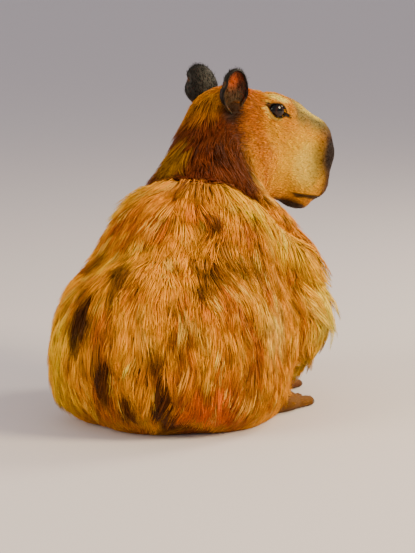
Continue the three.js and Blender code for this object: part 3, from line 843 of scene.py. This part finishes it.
def eye_material(label, centre):
    """Wet cornea: clear gloss over a dark iris, sharp highlights."""
    material, tree, shader = new_material(f"wet_eye_{label}")
    place = add_node(tree, "ShaderNodeTexCoord")
    away = add_node(tree, "ShaderNodeVectorMath", {"operation": "DISTANCE"}, Vector=place.outputs["Object"])
    away.inputs[1].default_value = centre
    reach = add_node(tree, "ShaderNodeMapRange", Value=away.outputs["Value"])
    set_inputs(tree, reach, From_Min=PUPIL_RADIUS * MM, From_Max=(IRIS_RADIUS + IRIS_EDGE) * MM)
    ramp = add_node(tree, "ShaderNodeValToRGB", Fac=reach.outputs["Result"])
    ramp.color_ramp.elements[0].color = opaque(EYE_BLACK)
    ramp.color_ramp.elements[1].color = opaque(EYE_BLACK)
    ramp.color_ramp.elements.new(0.4).color = opaque(EYE_IRIS)
    set_inputs(tree, shader, Base_Color=ramp.outputs["Color"], Roughness=0.04, IOR=1.376)
    set_inputs(tree, shader, Specular_IOR_Level=0.3, Coat_Weight=0.25, Coat_Roughness=0.02)
    return material


def make_eye(label, side):
    eye = new_ball(f"eyeball_{label}", 48, 32)
    raised = points_of(eye.data) * MM
    front = smooth(raised[:, 1] * side, 0.62, 1.0)
    raised *= (EYE_RADIUS + CORNEA_RISE * front)[:, None]
    move_points(eye.data, raised)
    place_mesh(eye.data, eye_frame(side))
    eye.data.shade_smooth()
    front_centre = Matrix.Scale(MM, 4) @ eye_frame(side) @ Vector((0, side * EYE_RADIUS, 0))
    eye.data.materials.append(eye_material(label, front_centre))
    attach(eye, "root")
    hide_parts(f"eye_{label}")


for label, side in SIDES:
    make_eye(label, side)

# The ears: short round cups of thin, dark, nearly bare skin, set high on the back of the head.
# Each is a shell cut open in front, with a rim that curls in and a notch in its rear edge.
EAR_ROOT = (-41, 53, 21)
EAR_LENGTH = 88
EAR_WIDTH = 64
EAR_DEPTH = 14
EAR_WALL = 3.4
EAR_RISE = 0.31
EAR_CUT = 0.34
EAR_NARROWING = 0.34
EAR_NOTCH_HEIGHT = 47
EAR_NOTCH_DEPTH = 6
EAR_GRAIN = 1.6
EAR_LEAN_BACK = math.radians(25)
EAR_LEAN_OUT = math.radians(12)
EAR_OPENING = math.radians(80)
EAR_INSIDE = "#3E2A10"
EAR_FLUSH = "#B44C0C"
EAR_OUTSIDE = "#100D0A"
EAR_RIM = "#080605"


def ear_frame(side):
    """An ear's own axes: out of its cup, across it and up to its tip."""
    lean = Matrix.Rotation(-EAR_LEAN_BACK, 4, "Y") @ Matrix.Rotation(-EAR_LEAN_OUT * side, 4, "X")
    opening = Matrix.Rotation(EAR_OPENING * side, 4, "Z")
    return HEAD @ Matrix.Translation((EAR_ROOT[0], EAR_ROOT[1] * side, EAR_ROOT[2])) @ lean @ opening


def ear_material():
    """Thin dark skin: soft low gloss, fine wrinkles and pores."""
    material, tree, shader = new_material("ear_skin")
    colour = add_node(tree, "ShaderNodeVertexColor", {"layer_name": "marking"})
    place = add_node(tree, "ShaderNodeTexCoord")
    scale = 1 / (EAR_GRAIN * MM)
    grain = add_node(tree, "ShaderNodeTexNoise", Vector=place.outputs["Object"], Scale=scale, Detail=4.0)
    bump = add_node(tree, "ShaderNodeBump", Height=grain.outputs["Fac"], Strength=0.6, Distance=0.4 * MM)
    set_inputs(tree, shader, Base_Color=colour.outputs["Color"], Normal=bump.outputs["Normal"])
    set_inputs(tree, shader, Roughness=0.55, Specular_IOR_Level=0.25, Subsurface_Weight=0.08)
    return material


ear_skin = ear_material()


def in_cup(points, side):
    """0 in the middle of an ear's cup and 1 on its shell."""
    x, y, z = local_points(points, ear_frame(side)).T
    cup = np.stack([x / EAR_DEPTH, 2 * y / EAR_WIDTH, 2 * z / EAR_LENGTH - 2 * EAR_RISE], axis=1)
    return np.linalg.norm(cup, axis=1)


def ear_colours(points, side):
    """Black outside and on the rim, olive brown inside, with a flush where the skin is thinnest."""
    x, y, z = local_points(points, ear_frame(side)).T
    inside = 1 - smooth(in_cup(points, side), 0.86, 0.93)
    flush = inside * hump(y * side, -6, 11) * hump(z, 46, 12)
    rim = smooth(x, 0.5, 3.0) * smooth(z, 0, 20)
    colour = tinted(linear(EAR_OUTSIDE), EAR_INSIDE, inside)
    colour = tinted(tinted(colour, EAR_FLUSH, flush), EAR_RIM, rim)
    return colour * (0.6 + 0.8 * noise(points, 6, 21))[:, None]


def make_ear(label, side):
    ear = new_ball(f"ear_cup_{label}", 40, 28)
    bpy.ops.object.mode_set(mode="EDIT")
    bpy.ops.mesh.select_all(action="SELECT")
    bpy.ops.mesh.bisect(plane_co=(EAR_CUT, 0, 0), plane_no=(1, 0, 0), clear_outer=True)
    bpy.ops.object.mode_set(mode="OBJECT")
    cup = points_of(ear.data) * MM * (EAR_DEPTH, EAR_WIDTH / 2, EAR_LENGTH / 2)
    cup[:, 2] += EAR_LENGTH * EAR_RISE
    cup[:, 1] *= 1 - EAR_NARROWING * (1 - smooth(cup[:, 2], -12, 24))
    notch = hump(cup[:, 2], EAR_NOTCH_HEIGHT, 8) * smooth(cup[:, 1] * side, 14, 29)
    cup[:, 1] -= side * EAR_NOTCH_DEPTH * notch
    curl = smooth(cup[:, 0], 0, 5) * smooth(cup[:, 2], 16, 50)
    cup[:, 1] *= 1 - 0.1 * curl
    move_points(ear.data, cup)
    place_mesh(ear.data, ear_frame(side))
    apply_modifier(ear, "SOLIDIFY", thickness=EAR_WALL * HEAD_SCALE * MM, offset=-1)
    apply_modifier(ear, "BEVEL", width=1.2 * MM, segments=2, limit_method="ANGLE")
    apply_modifier(ear, "SUBSURF", levels=1, render_levels=1)
    ear.data.shade_smooth()
    paint(ear.data, ear_colours(points_of(ear.data), side))
    ear.data.materials.append(ear_skin)
    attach(ear, "root")
    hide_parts(f"ear_{label}")
    return ear


ears = [make_ear(label, side) for label, side in SIDES]

# The nails: thick blunt hoofs of dark horn, one on the end of each toe, four in front, three behind.
# Each is a ball drawn out along its toe, flat below and worn at the tip.
NAIL_HORN = "#1B1512"
NAIL_WORN = "#5A4A3C"
NAIL_SIZES = {"fore": (7, 12, 6.5), "hind": (9, 14, 8)}
NAIL_DROOP = 0.28
NAIL_TAPER = 0.22
HORN_WAVE = 3.2


def horn_material():
    """Horn: smooth and dark, with paler growth rings a third of a wave, about 1 mm, apart."""
    material, tree, shader = new_material("dark_horn")
    place = add_node(tree, "ShaderNodeTexCoord")
    rings = add_node(tree, "ShaderNodeTexWave", {"bands_direction": "Y"}, Vector=place.outputs["Object"])
    set_inputs(tree, rings, Scale=1 / (HORN_WAVE * MM), Distortion=2.0)
    ramp = add_node(tree, "ShaderNodeValToRGB", Fac=rings.outputs["Fac"])
    ramp.color_ramp.elements[0].color = opaque(NAIL_HORN)
    ramp.color_ramp.elements[1].color = opaque(NAIL_WORN)
    ramp.color_ramp.elements[0].position = 0.35
    bump = add_node(tree, "ShaderNodeBump", Height=rings.outputs["Fac"], Strength=0.25, Distance=0.2 * MM)
    set_inputs(tree, shader, Base_Color=ramp.outputs["Color"], Normal=bump.outputs["Normal"], Roughness=0.38)
    return material


horn = horn_material()


def make_nail(kind, label, number, start, end):
    nail = new_ball(f"hoof_{kind}_{label}_{number}", 24, 16)
    width, length, height = NAIL_SIZES[kind]
    shape = points_of(nail.data) * MM
    ahead = smooth(shape[:, 1], 0.1, 1.0)
    shape[:, 2] -= NAIL_DROOP * ahead
    shape[:, 0] *= 1 - NAIL_TAPER * ahead
    shape *= (width, length, height)
    move_points(nail.data, shape)
    along = Vector(end) - Vector(start)
    turn = Matrix.Rotation(math.atan2(-along.x, along.y), 4, "Z")
    place_mesh(nail.data, Matrix.Translation(end) @ turn)
    flatten_soles(nail)
    nail.data.shade_smooth()
    nail.data.materials.append(horn)
    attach(nail, "root")
    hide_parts(f"nail_{kind}_{label}_{number}")


for label, side in SIDES:
    for kind, toes in (("fore", fore_toes(side)), ("hind", hind_toes(side))):
        for number, (start, end) in enumerate(toes, 1):
            make_nail(kind, label, number, start, end)

# The coat: long, coarse hair over the body, in tufts that lie down the back and out at the flanks.
# Every tuft is a thin closed lock of three sides that is rooted in the hide and tapers to its tip.
RINGS = (0.0, 0.34, 0.7)
STEPS = (*RINGS, 1.0)
RING_WIDTHS = (0.8, 1.0, 0.66)
ROOT_DEPTH = 1.5
PIECE_TUFTS = 11800
COAT_PATCH = 0.003
PATCH_FOLD = 0.34
BACKWARD = -np.array(HEAD.to_3x3().col[0].normalized())
rng = np.random.default_rng(5)


def lie_of_hair(points):
    """The way the hair lies: down from nape and shoulders, back over the head, out over the toes."""
    front = smooth(-points[:, 1], 150, 300)[:, None]
    run = np.stack([points[:, 0] * 0.0016, 0.5 - 0.62 * front[:, 0], -np.ones(len(points))], axis=1)
    past_nape = smooth(local_points(points, HEAD)[:, 0], -90, -20)
    at_head = ((1 - smooth(head(points), 6, 46)) * past_nape)[:, None]
    run = unit(run) * (1 - at_head) + (BACKWARD + np.array((0, 0, -0.25))) * at_head
    at_feet = (1 - smooth(feet(points), 2, 20))[:, None]
    return unit(run * (1 - at_feet) + np.array((0, -1, -0.15)) * at_feet)


def fringe(points):
    """Where the hair hangs in a fringe: outside each foreleg and under the throat."""
    x, y, z = points.T
    flank = smooth(np.abs(x), 120, 190) * smooth(-y, 190, 280)
    flank *= smooth(z, 70, 130) * (1 - smooth(z, 330, 400))
    throat = smooth(-y, 350, 400) * smooth(z, 300, 340) * (1 - smooth(z, 400, 450))
    off_head = smooth(head(points), 4, 30)
    return flank * off_head, throat * off_head


def coat_depth(points):
    """How full the coat is, from 0 on the face and the feet to 1 on the body."""
    away_from_feet = smooth(points[:, 2], 30, 120)
    forward = local_points(points, HEAD)[:, 0]
    return away_from_feet * np.maximum(1 - smooth(forward, -95, -40), smooth(head(points), 10, 70))


def triangles_of(piece):
    """Corner places, corner map places and area of each triangle of a piece."""
    mesh = piece.data
    mesh.calc_loop_triangles()
    count = len(mesh.loop_triangles)
    corners, loops = np.empty(count * 3, np.int32), np.empty(count * 3, np.int32)
    mesh.loop_triangles.foreach_get("vertices", corners)
    mesh.loop_triangles.foreach_get("loops", loops)
    uv = np.empty(len(mesh.loops) * 2)
    mesh.uv_layers["OFBake"].data.foreach_get("uv", uv)
    places = points_of(mesh)[corners].reshape(-1, 3, 3)
    areas = np.linalg.norm(np.cross(places[:, 1] - places[:, 0], places[:, 2] - places[:, 0]), axis=1) / 2
    return places, uv.reshape(-1, 2)[loops].reshape(-1, 3, 2), areas


skin_triangles = triangles_of(skin)


def roots(count, density):
    """Places for tufts, spread over the hide by area and by a density."""
    places, maps, areas = skin_triangles
    centres = places.mean(axis=1)
    weights = areas * density(centres)
    picks = rng.choice(len(areas), count, p=weights / weights.sum())
    share = rng.random((count, 2))
    share[share.sum(axis=1) > 1] = 1 - share[share.sum(axis=1) > 1]
    mix = np.stack([1 - share.sum(axis=1), share[:, 0], share[:, 1]], axis=1)[:, :, None]
    return (places[picks] * mix).sum(axis=1), (maps[picks] * mix).sum(axis=1)


def grow(start, length, lift, sway):
    """The path of each tuft: along the hide, standing off it more and more."""
    points = start.copy()
    path, outs = [], []
    done = 0
    for along in STEPS:
        out = unit(slope_of(flesh, points))
        lie = lie_of_hair(points)
        lie = unit(lie - (lie * out).sum(axis=1, keepdims=True) * out)
        lie = unit(lie + np.cross(out, lie) * sway[:, None])
        points = points + lie * ((along - done) * length)[:, None]
        points = settle(flesh, points)
        done = along
        height = -ROOT_DEPTH + (lift + ROOT_DEPTH) * along**0.75
        out = unit(slope_of(flesh, points))
        path.append(points + out * height[:, None])
        outs.append(out)
    return np.stack(path, axis=1), np.stack(outs, axis=1)


def clump(path, size, pull):
    """Draws the tips of neighbours together, as damp or coarse hair gathers."""
    centres = rng.choice(len(path), max(len(path) // size, 1), replace=False)
    tree = kdtree.KDTree(len(centres))
    for number, centre in enumerate(centres):
        tree.insert(path[centre, 0], number)
    tree.balance()
    nearest = centres[[tree.find(root)[1] for root in path[:, 0]]]
    offset = path[nearest] - path
    shares = (np.array(STEPS) ** 1.6)[None, :, None] * pull[:, None, None]
    return path + offset * shares, nearest


def tuft_corners(path, outs, width):
    """Three corners on each ring of each tuft, and one point at its tip."""
    corners = []
    for ring, share in enumerate(RING_WIDTHS):
        along = unit(path[:, ring + 1] - path[:, ring])
        across = unit(np.cross(along, outs[:, ring]))
        up = np.cross(across, along)
        half = (width * share / 2)[:, None]
        thick = half * 0.5
        middle = path[:, ring]
        corners += [middle - across * half, middle + across * half, middle + up * thick]
    return np.stack([*corners, path[:, -1]], axis=1)


def tuft_faces():
    """The triangles of one tuft: its root, its sides and its tip."""
    faces = [(0, 2, 1)]
    tip = 3 * len(RINGS)
    for ring in range(0, tip - 3, 3):
        for n in range(3):
            a, b = ring + n, ring + (n + 1) % 3
            faces += [(a, b, a + 3), (b, b + 3, a + 3)]
    faces += [(tip - 3 + n, tip - 3 + (n + 1) % 3, tip) for n in range(3)]
    return np.array(faces)


TUFT_FACES = tuft_faces()


def hair_material():
    """Coarse hair: satin along its length, colour from the markings, with painted shade darkest at the roots
    and lighter at the tips.
    """
    material, tree, shader = new_material("coarse_hair")
    colour = add_node(tree, "ShaderNodeVertexColor", {"layer_name": "marking"})
    set_inputs(tree, shader, Base_Color=colour.outputs["Color"], Roughness=0.5)
    set_inputs(tree, shader, IOR=1.55, Specular_IOR_Level=0.12)
    return material


hair = hair_material()


def make_coat_piece(name, corners, colours, maps):
    """One mesh of many tufts, with its colours and with its places on the hide's map."""
    count, per_tuft = corners.shape[:2]
    faces = (TUFT_FACES[None] + (np.arange(count) * per_tuft)[:, None, None]).reshape(-1, 3)
    mesh = bpy.data.meshes.new(name)
    mesh.vertices.add(count * per_tuft)
    mesh.vertices.foreach_set("co", (corners * MM).ravel())
    mesh.loops.add(faces.size)
    mesh.loops.foreach_set("vertex_index", faces.ravel())
    mesh.polygons.add(len(faces))
    mesh.polygons.foreach_set("loop_start", np.arange(0, faces.size, 3))
    mesh.polygons.foreach_set("loop_total", np.full(len(faces), 3))
    mesh.update(calc_edges=True)
    paint(mesh, colours.reshape(-1, 3))
    ring = np.arange(per_tuft) / (per_tuft - 1)
    patch = COAT_PATCH * np.stack([ring, ring % PATCH_FOLD / PATCH_FOLD], axis=1) - COAT_PATCH / 2
    layer = mesh.uv_layers.new(name="OFBake")
    uv = (maps[:, None, :] + patch[None]).reshape(-1, 2)[faces.ravel()]
    layer.data.foreach_set("uv", uv.ravel())
    piece = bpy.data.objects.new(name, mesh)
    bpy.context.scene.collection.objects.link(piece)
    mesh.shade_smooth()
    mesh.materials.append(hair)
    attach(piece, "root")


# Painted shade: each tuft is darkest at its root, deep in the coat, and grows lighter to its tip.
CORNER_PAINTED_SHADES = np.array([0.45] * 3 + [0.82] * 3 + [1.05] * 3 + [1.3])
LOWEST_HAIR = 1.2


def make_tufts(name, path, outs, width, colour, maps):
    """Tufts with their colours, in as many pieces as their number needs."""
    path[:, :, 2] = np.maximum(path[:, :, 2], LOWEST_HAIR)
    corners = tuft_corners(path, outs, width)
    colours = colour[:, None, :] * CORNER_PAINTED_SHADES[None, :, None]
    for number, first in enumerate(range(0, len(path), PIECE_TUFTS), 1):
        part = slice(first, first + PIECE_TUFTS)
        make_coat_piece(f"{name}_{number}", corners[part], colours[part], maps[part])


STREAK_SHARE = 0.16


def make_coat(name, count, density, shape, streaked=1.0):
    """Tufts of one kind over a part of the hide; some clumps are bleached and some dark."""
    start, maps = roots(count, density)
    length, lift, width, pull, size = shape(start)
    sway = (noise(start, 38, 31) - 0.5) * 0.9 + rng.normal(0, 0.12, count)
    path, outs = grow(start, length, lift, sway)
    path, nearest = clump(path, size, pull)
    kind = rng.random(count)[nearest]
    tone = rng.normal(1, 0.12, count) * (0.8 + 0.4 * rng.random(count)[nearest])
    colour = markings(start * 0.4 + path[:, 1] * 0.6)
    bleached = streaked * 0.5 * smooth(kind, 1 - STREAK_SHARE, 1)
    colour = tinted(colour, CREAM, bleached * smooth(colour[:, 0], 0.1, 0.5))
    dark = np.where(kind < STREAK_SHARE, 1 - 0.45 * streaked, 1.0)
    make_tufts(name, path, outs, width, colour * (tone * dark)[:, None], maps)


def off_the_floor(points):
    return smooth(points[:, 2], 4, 14)


def body_density(points):
    return smooth(coat_depth(points), 0.15, 0.7) * off_the_floor(points)


SHAG_SIZE = 24
BODY_TUFTS = 55000
BODY_CLUMP = 18


def body_shape(start):
    """Length, lift, width and gathering of the tufts of the body."""
    count = len(start)
    full = coat_depth(start)
    flank, throat = fringe(start)
    rim = shoulder_rim(start)
    shag = lattice(np.floor(start / SHAG_SIZE).astype(np.int64), 41)
    length = (34 + 42 * full + 14 * flank + 10 * throat) * rng.uniform(0.75, 1.2, count)
    fullness = 5 + 9 * full + 12 * flank + 12 * throat + 9 * rim
    lift = fullness * rng.uniform(0.5, 1.1, count) * (0.7 + 0.6 * shag)
    width = (1.7 + 0.8 * full) * rng.uniform(0.7, 1.3, count)
    # The hair of the neck ends near the line of the shoulders.
    past = past_shoulders(start)
    room = np.where(past > 0, 12 + 0.85 * past, 200) + 200 * (1 - smooth(start[:, 2], 250, 330))
    length = np.minimum(length, room)
    return length, np.minimum(lift, 0.36 * length), width, rng.uniform(0.3, 0.8, count), BODY_CLUMP


make_coat("coat_body", BODY_TUFTS, body_density, body_shape)

# The fringe: the longest hair, hanging in separate pointed locks outside each foreleg and
# under the throat. It is rooted in the hide, stands off the body and breaks its outline.
LOCK_SIZE = 26
FRINGE_TUFTS = 4200
FRINGE_CLUMP = 26


def fringe_density(points):
    flank, throat = fringe(points)
    return flank * smooth(points[:, 2], 90, 150) + 0.5 * throat


def fringe_shape(start):
    """Length, lift, width and gathering of the tufts of the fringe."""
    count = len(start)
    lock = lattice(np.floor(start / LOCK_SIZE).astype(np.int64), 47)
    flank, throat = fringe(start)
    length = (60 + 44 * lock) * (0.7 * flank + 0.5 * throat + 0.3) * rng.uniform(0.85, 1.05, count)
    lift = (8 + 42 * lock) * (0.9 * flank + 0.5 * throat + 0.1) * rng.uniform(0.75, 1.05, count)
    width = 2.2 * rng.uniform(0.7, 1.3, count)
    return length, lift, width, rng.uniform(0.8, 0.97, count), FRINGE_CLUMP


make_coat("coat_fringe", FRINGE_TUFTS, fringe_density, fringe_shape)

# The short hair of the face, the lower legs and the feet: fine, flat and close.
# It leaves the lids, the nose and the lips bare, and is thin in the cups of the ears.
SHORT_TUFTS = 28000
SHORT_CLUMP = 8


def bare(points):
    """How bare a place is: wholly round the eyes and on nose and lips, in part in the ears' cups."""
    x, _, z = local_points(points, HEAD).T
    nose = smooth(x, 202, 210) * smooth(z, -40, -20)
    mouth = 1 - smooth(mouth_groove(points), 0.5, 3)
    cups = [0.6 - 0.6 * smooth(in_cup(points, side), 1.0, 1.2) for _, side in SIDES]
    return np.max([nose, eye_rims(points)[0], mouth, *cups], axis=0)


def short_density(points):
    close = 1 - smooth(coat_depth(points), 0.3, 0.9)
    face = 1 - smooth(head(points), 5, 40)
    return close * (1 - bare(points)) * off_the_floor(points) * (0.6 + 1.4 * face)


def short_shape(start):
    """Length, lift, width and gathering of the short tufts."""
    count = len(start)
    forward = local_points(start, HEAD)[:, 0]
    on_head = 1 - smooth(head(start), 4, 30)
    muzzle = on_head * smooth(forward, 20, 150)
    full = coat_depth(start)
    feet_share = 1 - smooth(feet(start), 3, 16)
    length = (19 + 14 * full - 9 * muzzle - 9 * feet_share) * rng.uniform(0.7, 1.25, count)
    lift = (2.6 + 4 * full - 1.2 * muzzle - 0.8 * feet_share) * rng.uniform(0.5, 1.3, count)
    width = (1.25 + 0.5 * full - 0.45 * muzzle) * rng.uniform(0.7, 1.3, count)
    return length, lift, width, rng.uniform(0.1, 0.45, count), SHORT_CLUMP


make_coat("coat_short", SHORT_TUFTS, short_density, short_shape, streaked=0.2)

# The hair of the ears: short and thin on the back of each cup, and a little denser on its rim.
# It is rooted in the skin of the ear and points to its tip.
EAR_TUFTS = 900


def make_ear_hair(ear, label, side):
    unwrap(ear)
    places, maps, areas = triangles_of(ear)
    normals = unit(np.cross(places[:, 1] - places[:, 0], places[:, 2] - places[:, 0]))
    x = local_points(places.mean(axis=1), ear_frame(side))[:, 0]
    weights = areas * (0.12 + smooth(-x, -2, 4) + 1.5 * smooth(x, 1, 4))
    picks = rng.choice(len(areas), EAR_TUFTS, p=weights / weights.sum())
    start, out = places[picks].mean(axis=1), normals[picks]
    up = np.array(ear_frame(side).to_3x3().col[2].normalized()) + rng.normal(0, 0.25, (EAR_TUFTS, 3))
    lie = unit(up - (up * out).sum(axis=1, keepdims=True) * out)
    length = rng.uniform(5, 12, EAR_TUFTS)[:, None]
    path = np.stack([start + lie * length * step + out * (step * 2.4 - 0.4) for step in STEPS], axis=1)
    outs = np.repeat(out[:, None, :], len(STEPS), axis=1)
    colour = ear_colours(start, side) * rng.uniform(0.3, 0.9, EAR_TUFTS)[:, None]
    width = rng.uniform(0.5, 0.9, EAR_TUFTS)
    make_tufts(f"ear_hair_{label}", path, outs, width, colour, maps[picks].mean(axis=1))


for ear, (label, side) in zip(ears, SIDES):
    make_ear_hair(ear, label, side)

# Whiskers and lashes: stiff dark hairs that stand out of the upper lip and over each eye.
# Each is rooted in the hide and bends back and down.
WHISKERS = 26
WHISKER_WIDTH = 0.55
LASHES = 16
LASH_WIDTH = 0.4
LASH_REACH = 17


def whisker_roots(side):
    """Places on the upper lip for the whiskers and over the eye for the lashes."""
    forward = rng.uniform(150, 196, WHISKERS)
    up = rng.uniform(-72, -30, WHISKERS)
    rows = np.stack([forward, np.full(WHISKERS, 40 * side), up], axis=1)
    angle = np.linspace(-0.9, 0.9, LASHES)
    out = np.full(LASHES, LASH_REACH * side)
    lashes = np.stack([LASH_REACH * np.sin(angle), out, 4 + 8 * np.cos(angle)], axis=1)
    lashes = lashes + EYE_CENTRE * np.array((1, side, 1))
    place = np.array(HEAD)
    return settle(surface, np.concatenate([rows, lashes]) @ place[:3, :3].T + place[:3, 3], turns=3)


def make_whiskers(label, side):
    count = WHISKERS + LASHES
    start = whisker_roots(side)
    out = unit(slope_of(flesh, start))
    bend = unit(BACKWARD + (0, 0, -0.5) + rng.normal(0, 0.12, (count, 3)))
    length = np.concatenate([rng.uniform(26, 44, WHISKERS), rng.uniform(7, 11, LASHES)])[:, None]
    path = []
    for step in STEPS:
        reach = 0.8 * step * out + step**1.6 * bend * 0.75
        path.append(start + length * reach - out * (1 - step))
    outs = np.repeat(unit(np.cross(out, bend))[:, None, :], len(STEPS), axis=1)
    width = np.concatenate([np.full(WHISKERS, WHISKER_WIDTH), np.full(LASHES, LASH_WIDTH)])
    colour = np.repeat(linear(SOOT)[None, :], count, axis=0)
    make_tufts(f"whiskers_{label}", np.stack(path, axis=1), outs, width, colour, np.full((count, 2), 0.5))


for label, side in SIDES:
    make_whiskers(label, side)

# The room: a plain pale floor and soft studio light from above, with the key on the face's side.
# The camera stands behind the animal and a little to its right, as in the picture.
FLOOR_COLOUR = "#CFC8CE"
FLOOR_SIZE = 90
SKY_COLOUR = "#E2DCDC"
SKY_STRENGTH = 0.78
CAMERA_TURN = math.radians(200)
CAMERA_RISE = math.radians(9)
CAMERA_DISTANCE = 4.5
CAMERA_TARGET = Vector((-0.031, -0.2, 0.255))
PICTURE_HEIGHT = 1.0655


def make_floor():
    deselect()
    bpy.ops.mesh.primitive_plane_add(size=FLOOR_SIZE)
    floor = bpy.context.object
    floor.name = "studio_floor"
    material, tree, shader = new_material("matte_floor")
    set_inputs(tree, shader, Base_Color=opaque(FLOOR_COLOUR), Roughness=0.9)
    floor.data.materials.append(material)


def make_camera():
    """A camera whose picture is as high as the frame of the photograph at the animal."""
    data = bpy.data.cameras.new("camera")
    camera = bpy.data.objects.new("camera", data)
    bpy.context.scene.collection.objects.link(camera)
    level = math.cos(CAMERA_RISE)
    back = Vector((math.sin(CAMERA_TURN) * level, -math.cos(CAMERA_TURN) * level, math.sin(CAMERA_RISE)))
    camera.location = CAMERA_TARGET + back * CAMERA_DISTANCE
    camera.rotation_euler = back.to_track_quat("Z", "Y").to_euler()
    data.lens = data.sensor_width * CAMERA_DISTANCE / PICTURE_HEIGHT
    bpy.context.scene.camera = camera


def make_light(name, place, size, power, colour):
    data = bpy.data.lights.new(name, "AREA")
    data.shape = "DISK"
    data.size = size
    data.energy = power
    data.color = linear(colour)
    light = bpy.data.objects.new(name, data)
    bpy.context.scene.collection.objects.link(light)
    light.location = place
    light.rotation_euler = (Vector(place) - CAMERA_TARGET).to_track_quat("Z", "Y").to_euler()


def make_world():
    world = bpy.data.worlds.new("studio")
    world.use_nodes = True
    sky = world.node_tree.nodes["Background"]
    set_inputs(world.node_tree, sky, Color=opaque(SKY_COLOUR), Strength=SKY_STRENGTH)
    bpy.context.scene.world = world


make_floor()
make_camera()
make_light("key", (-3.4, 0.2, 2.4), 1.6, 250, "#FFE6B4")
make_light("fill", (2.2, 2.8, 1.8), 2.4, 120, "#FFEFD0")
make_light("rim", (-1.8, -2.6, 2.4), 1.4, 90, "#FFF0D0")
make_world()
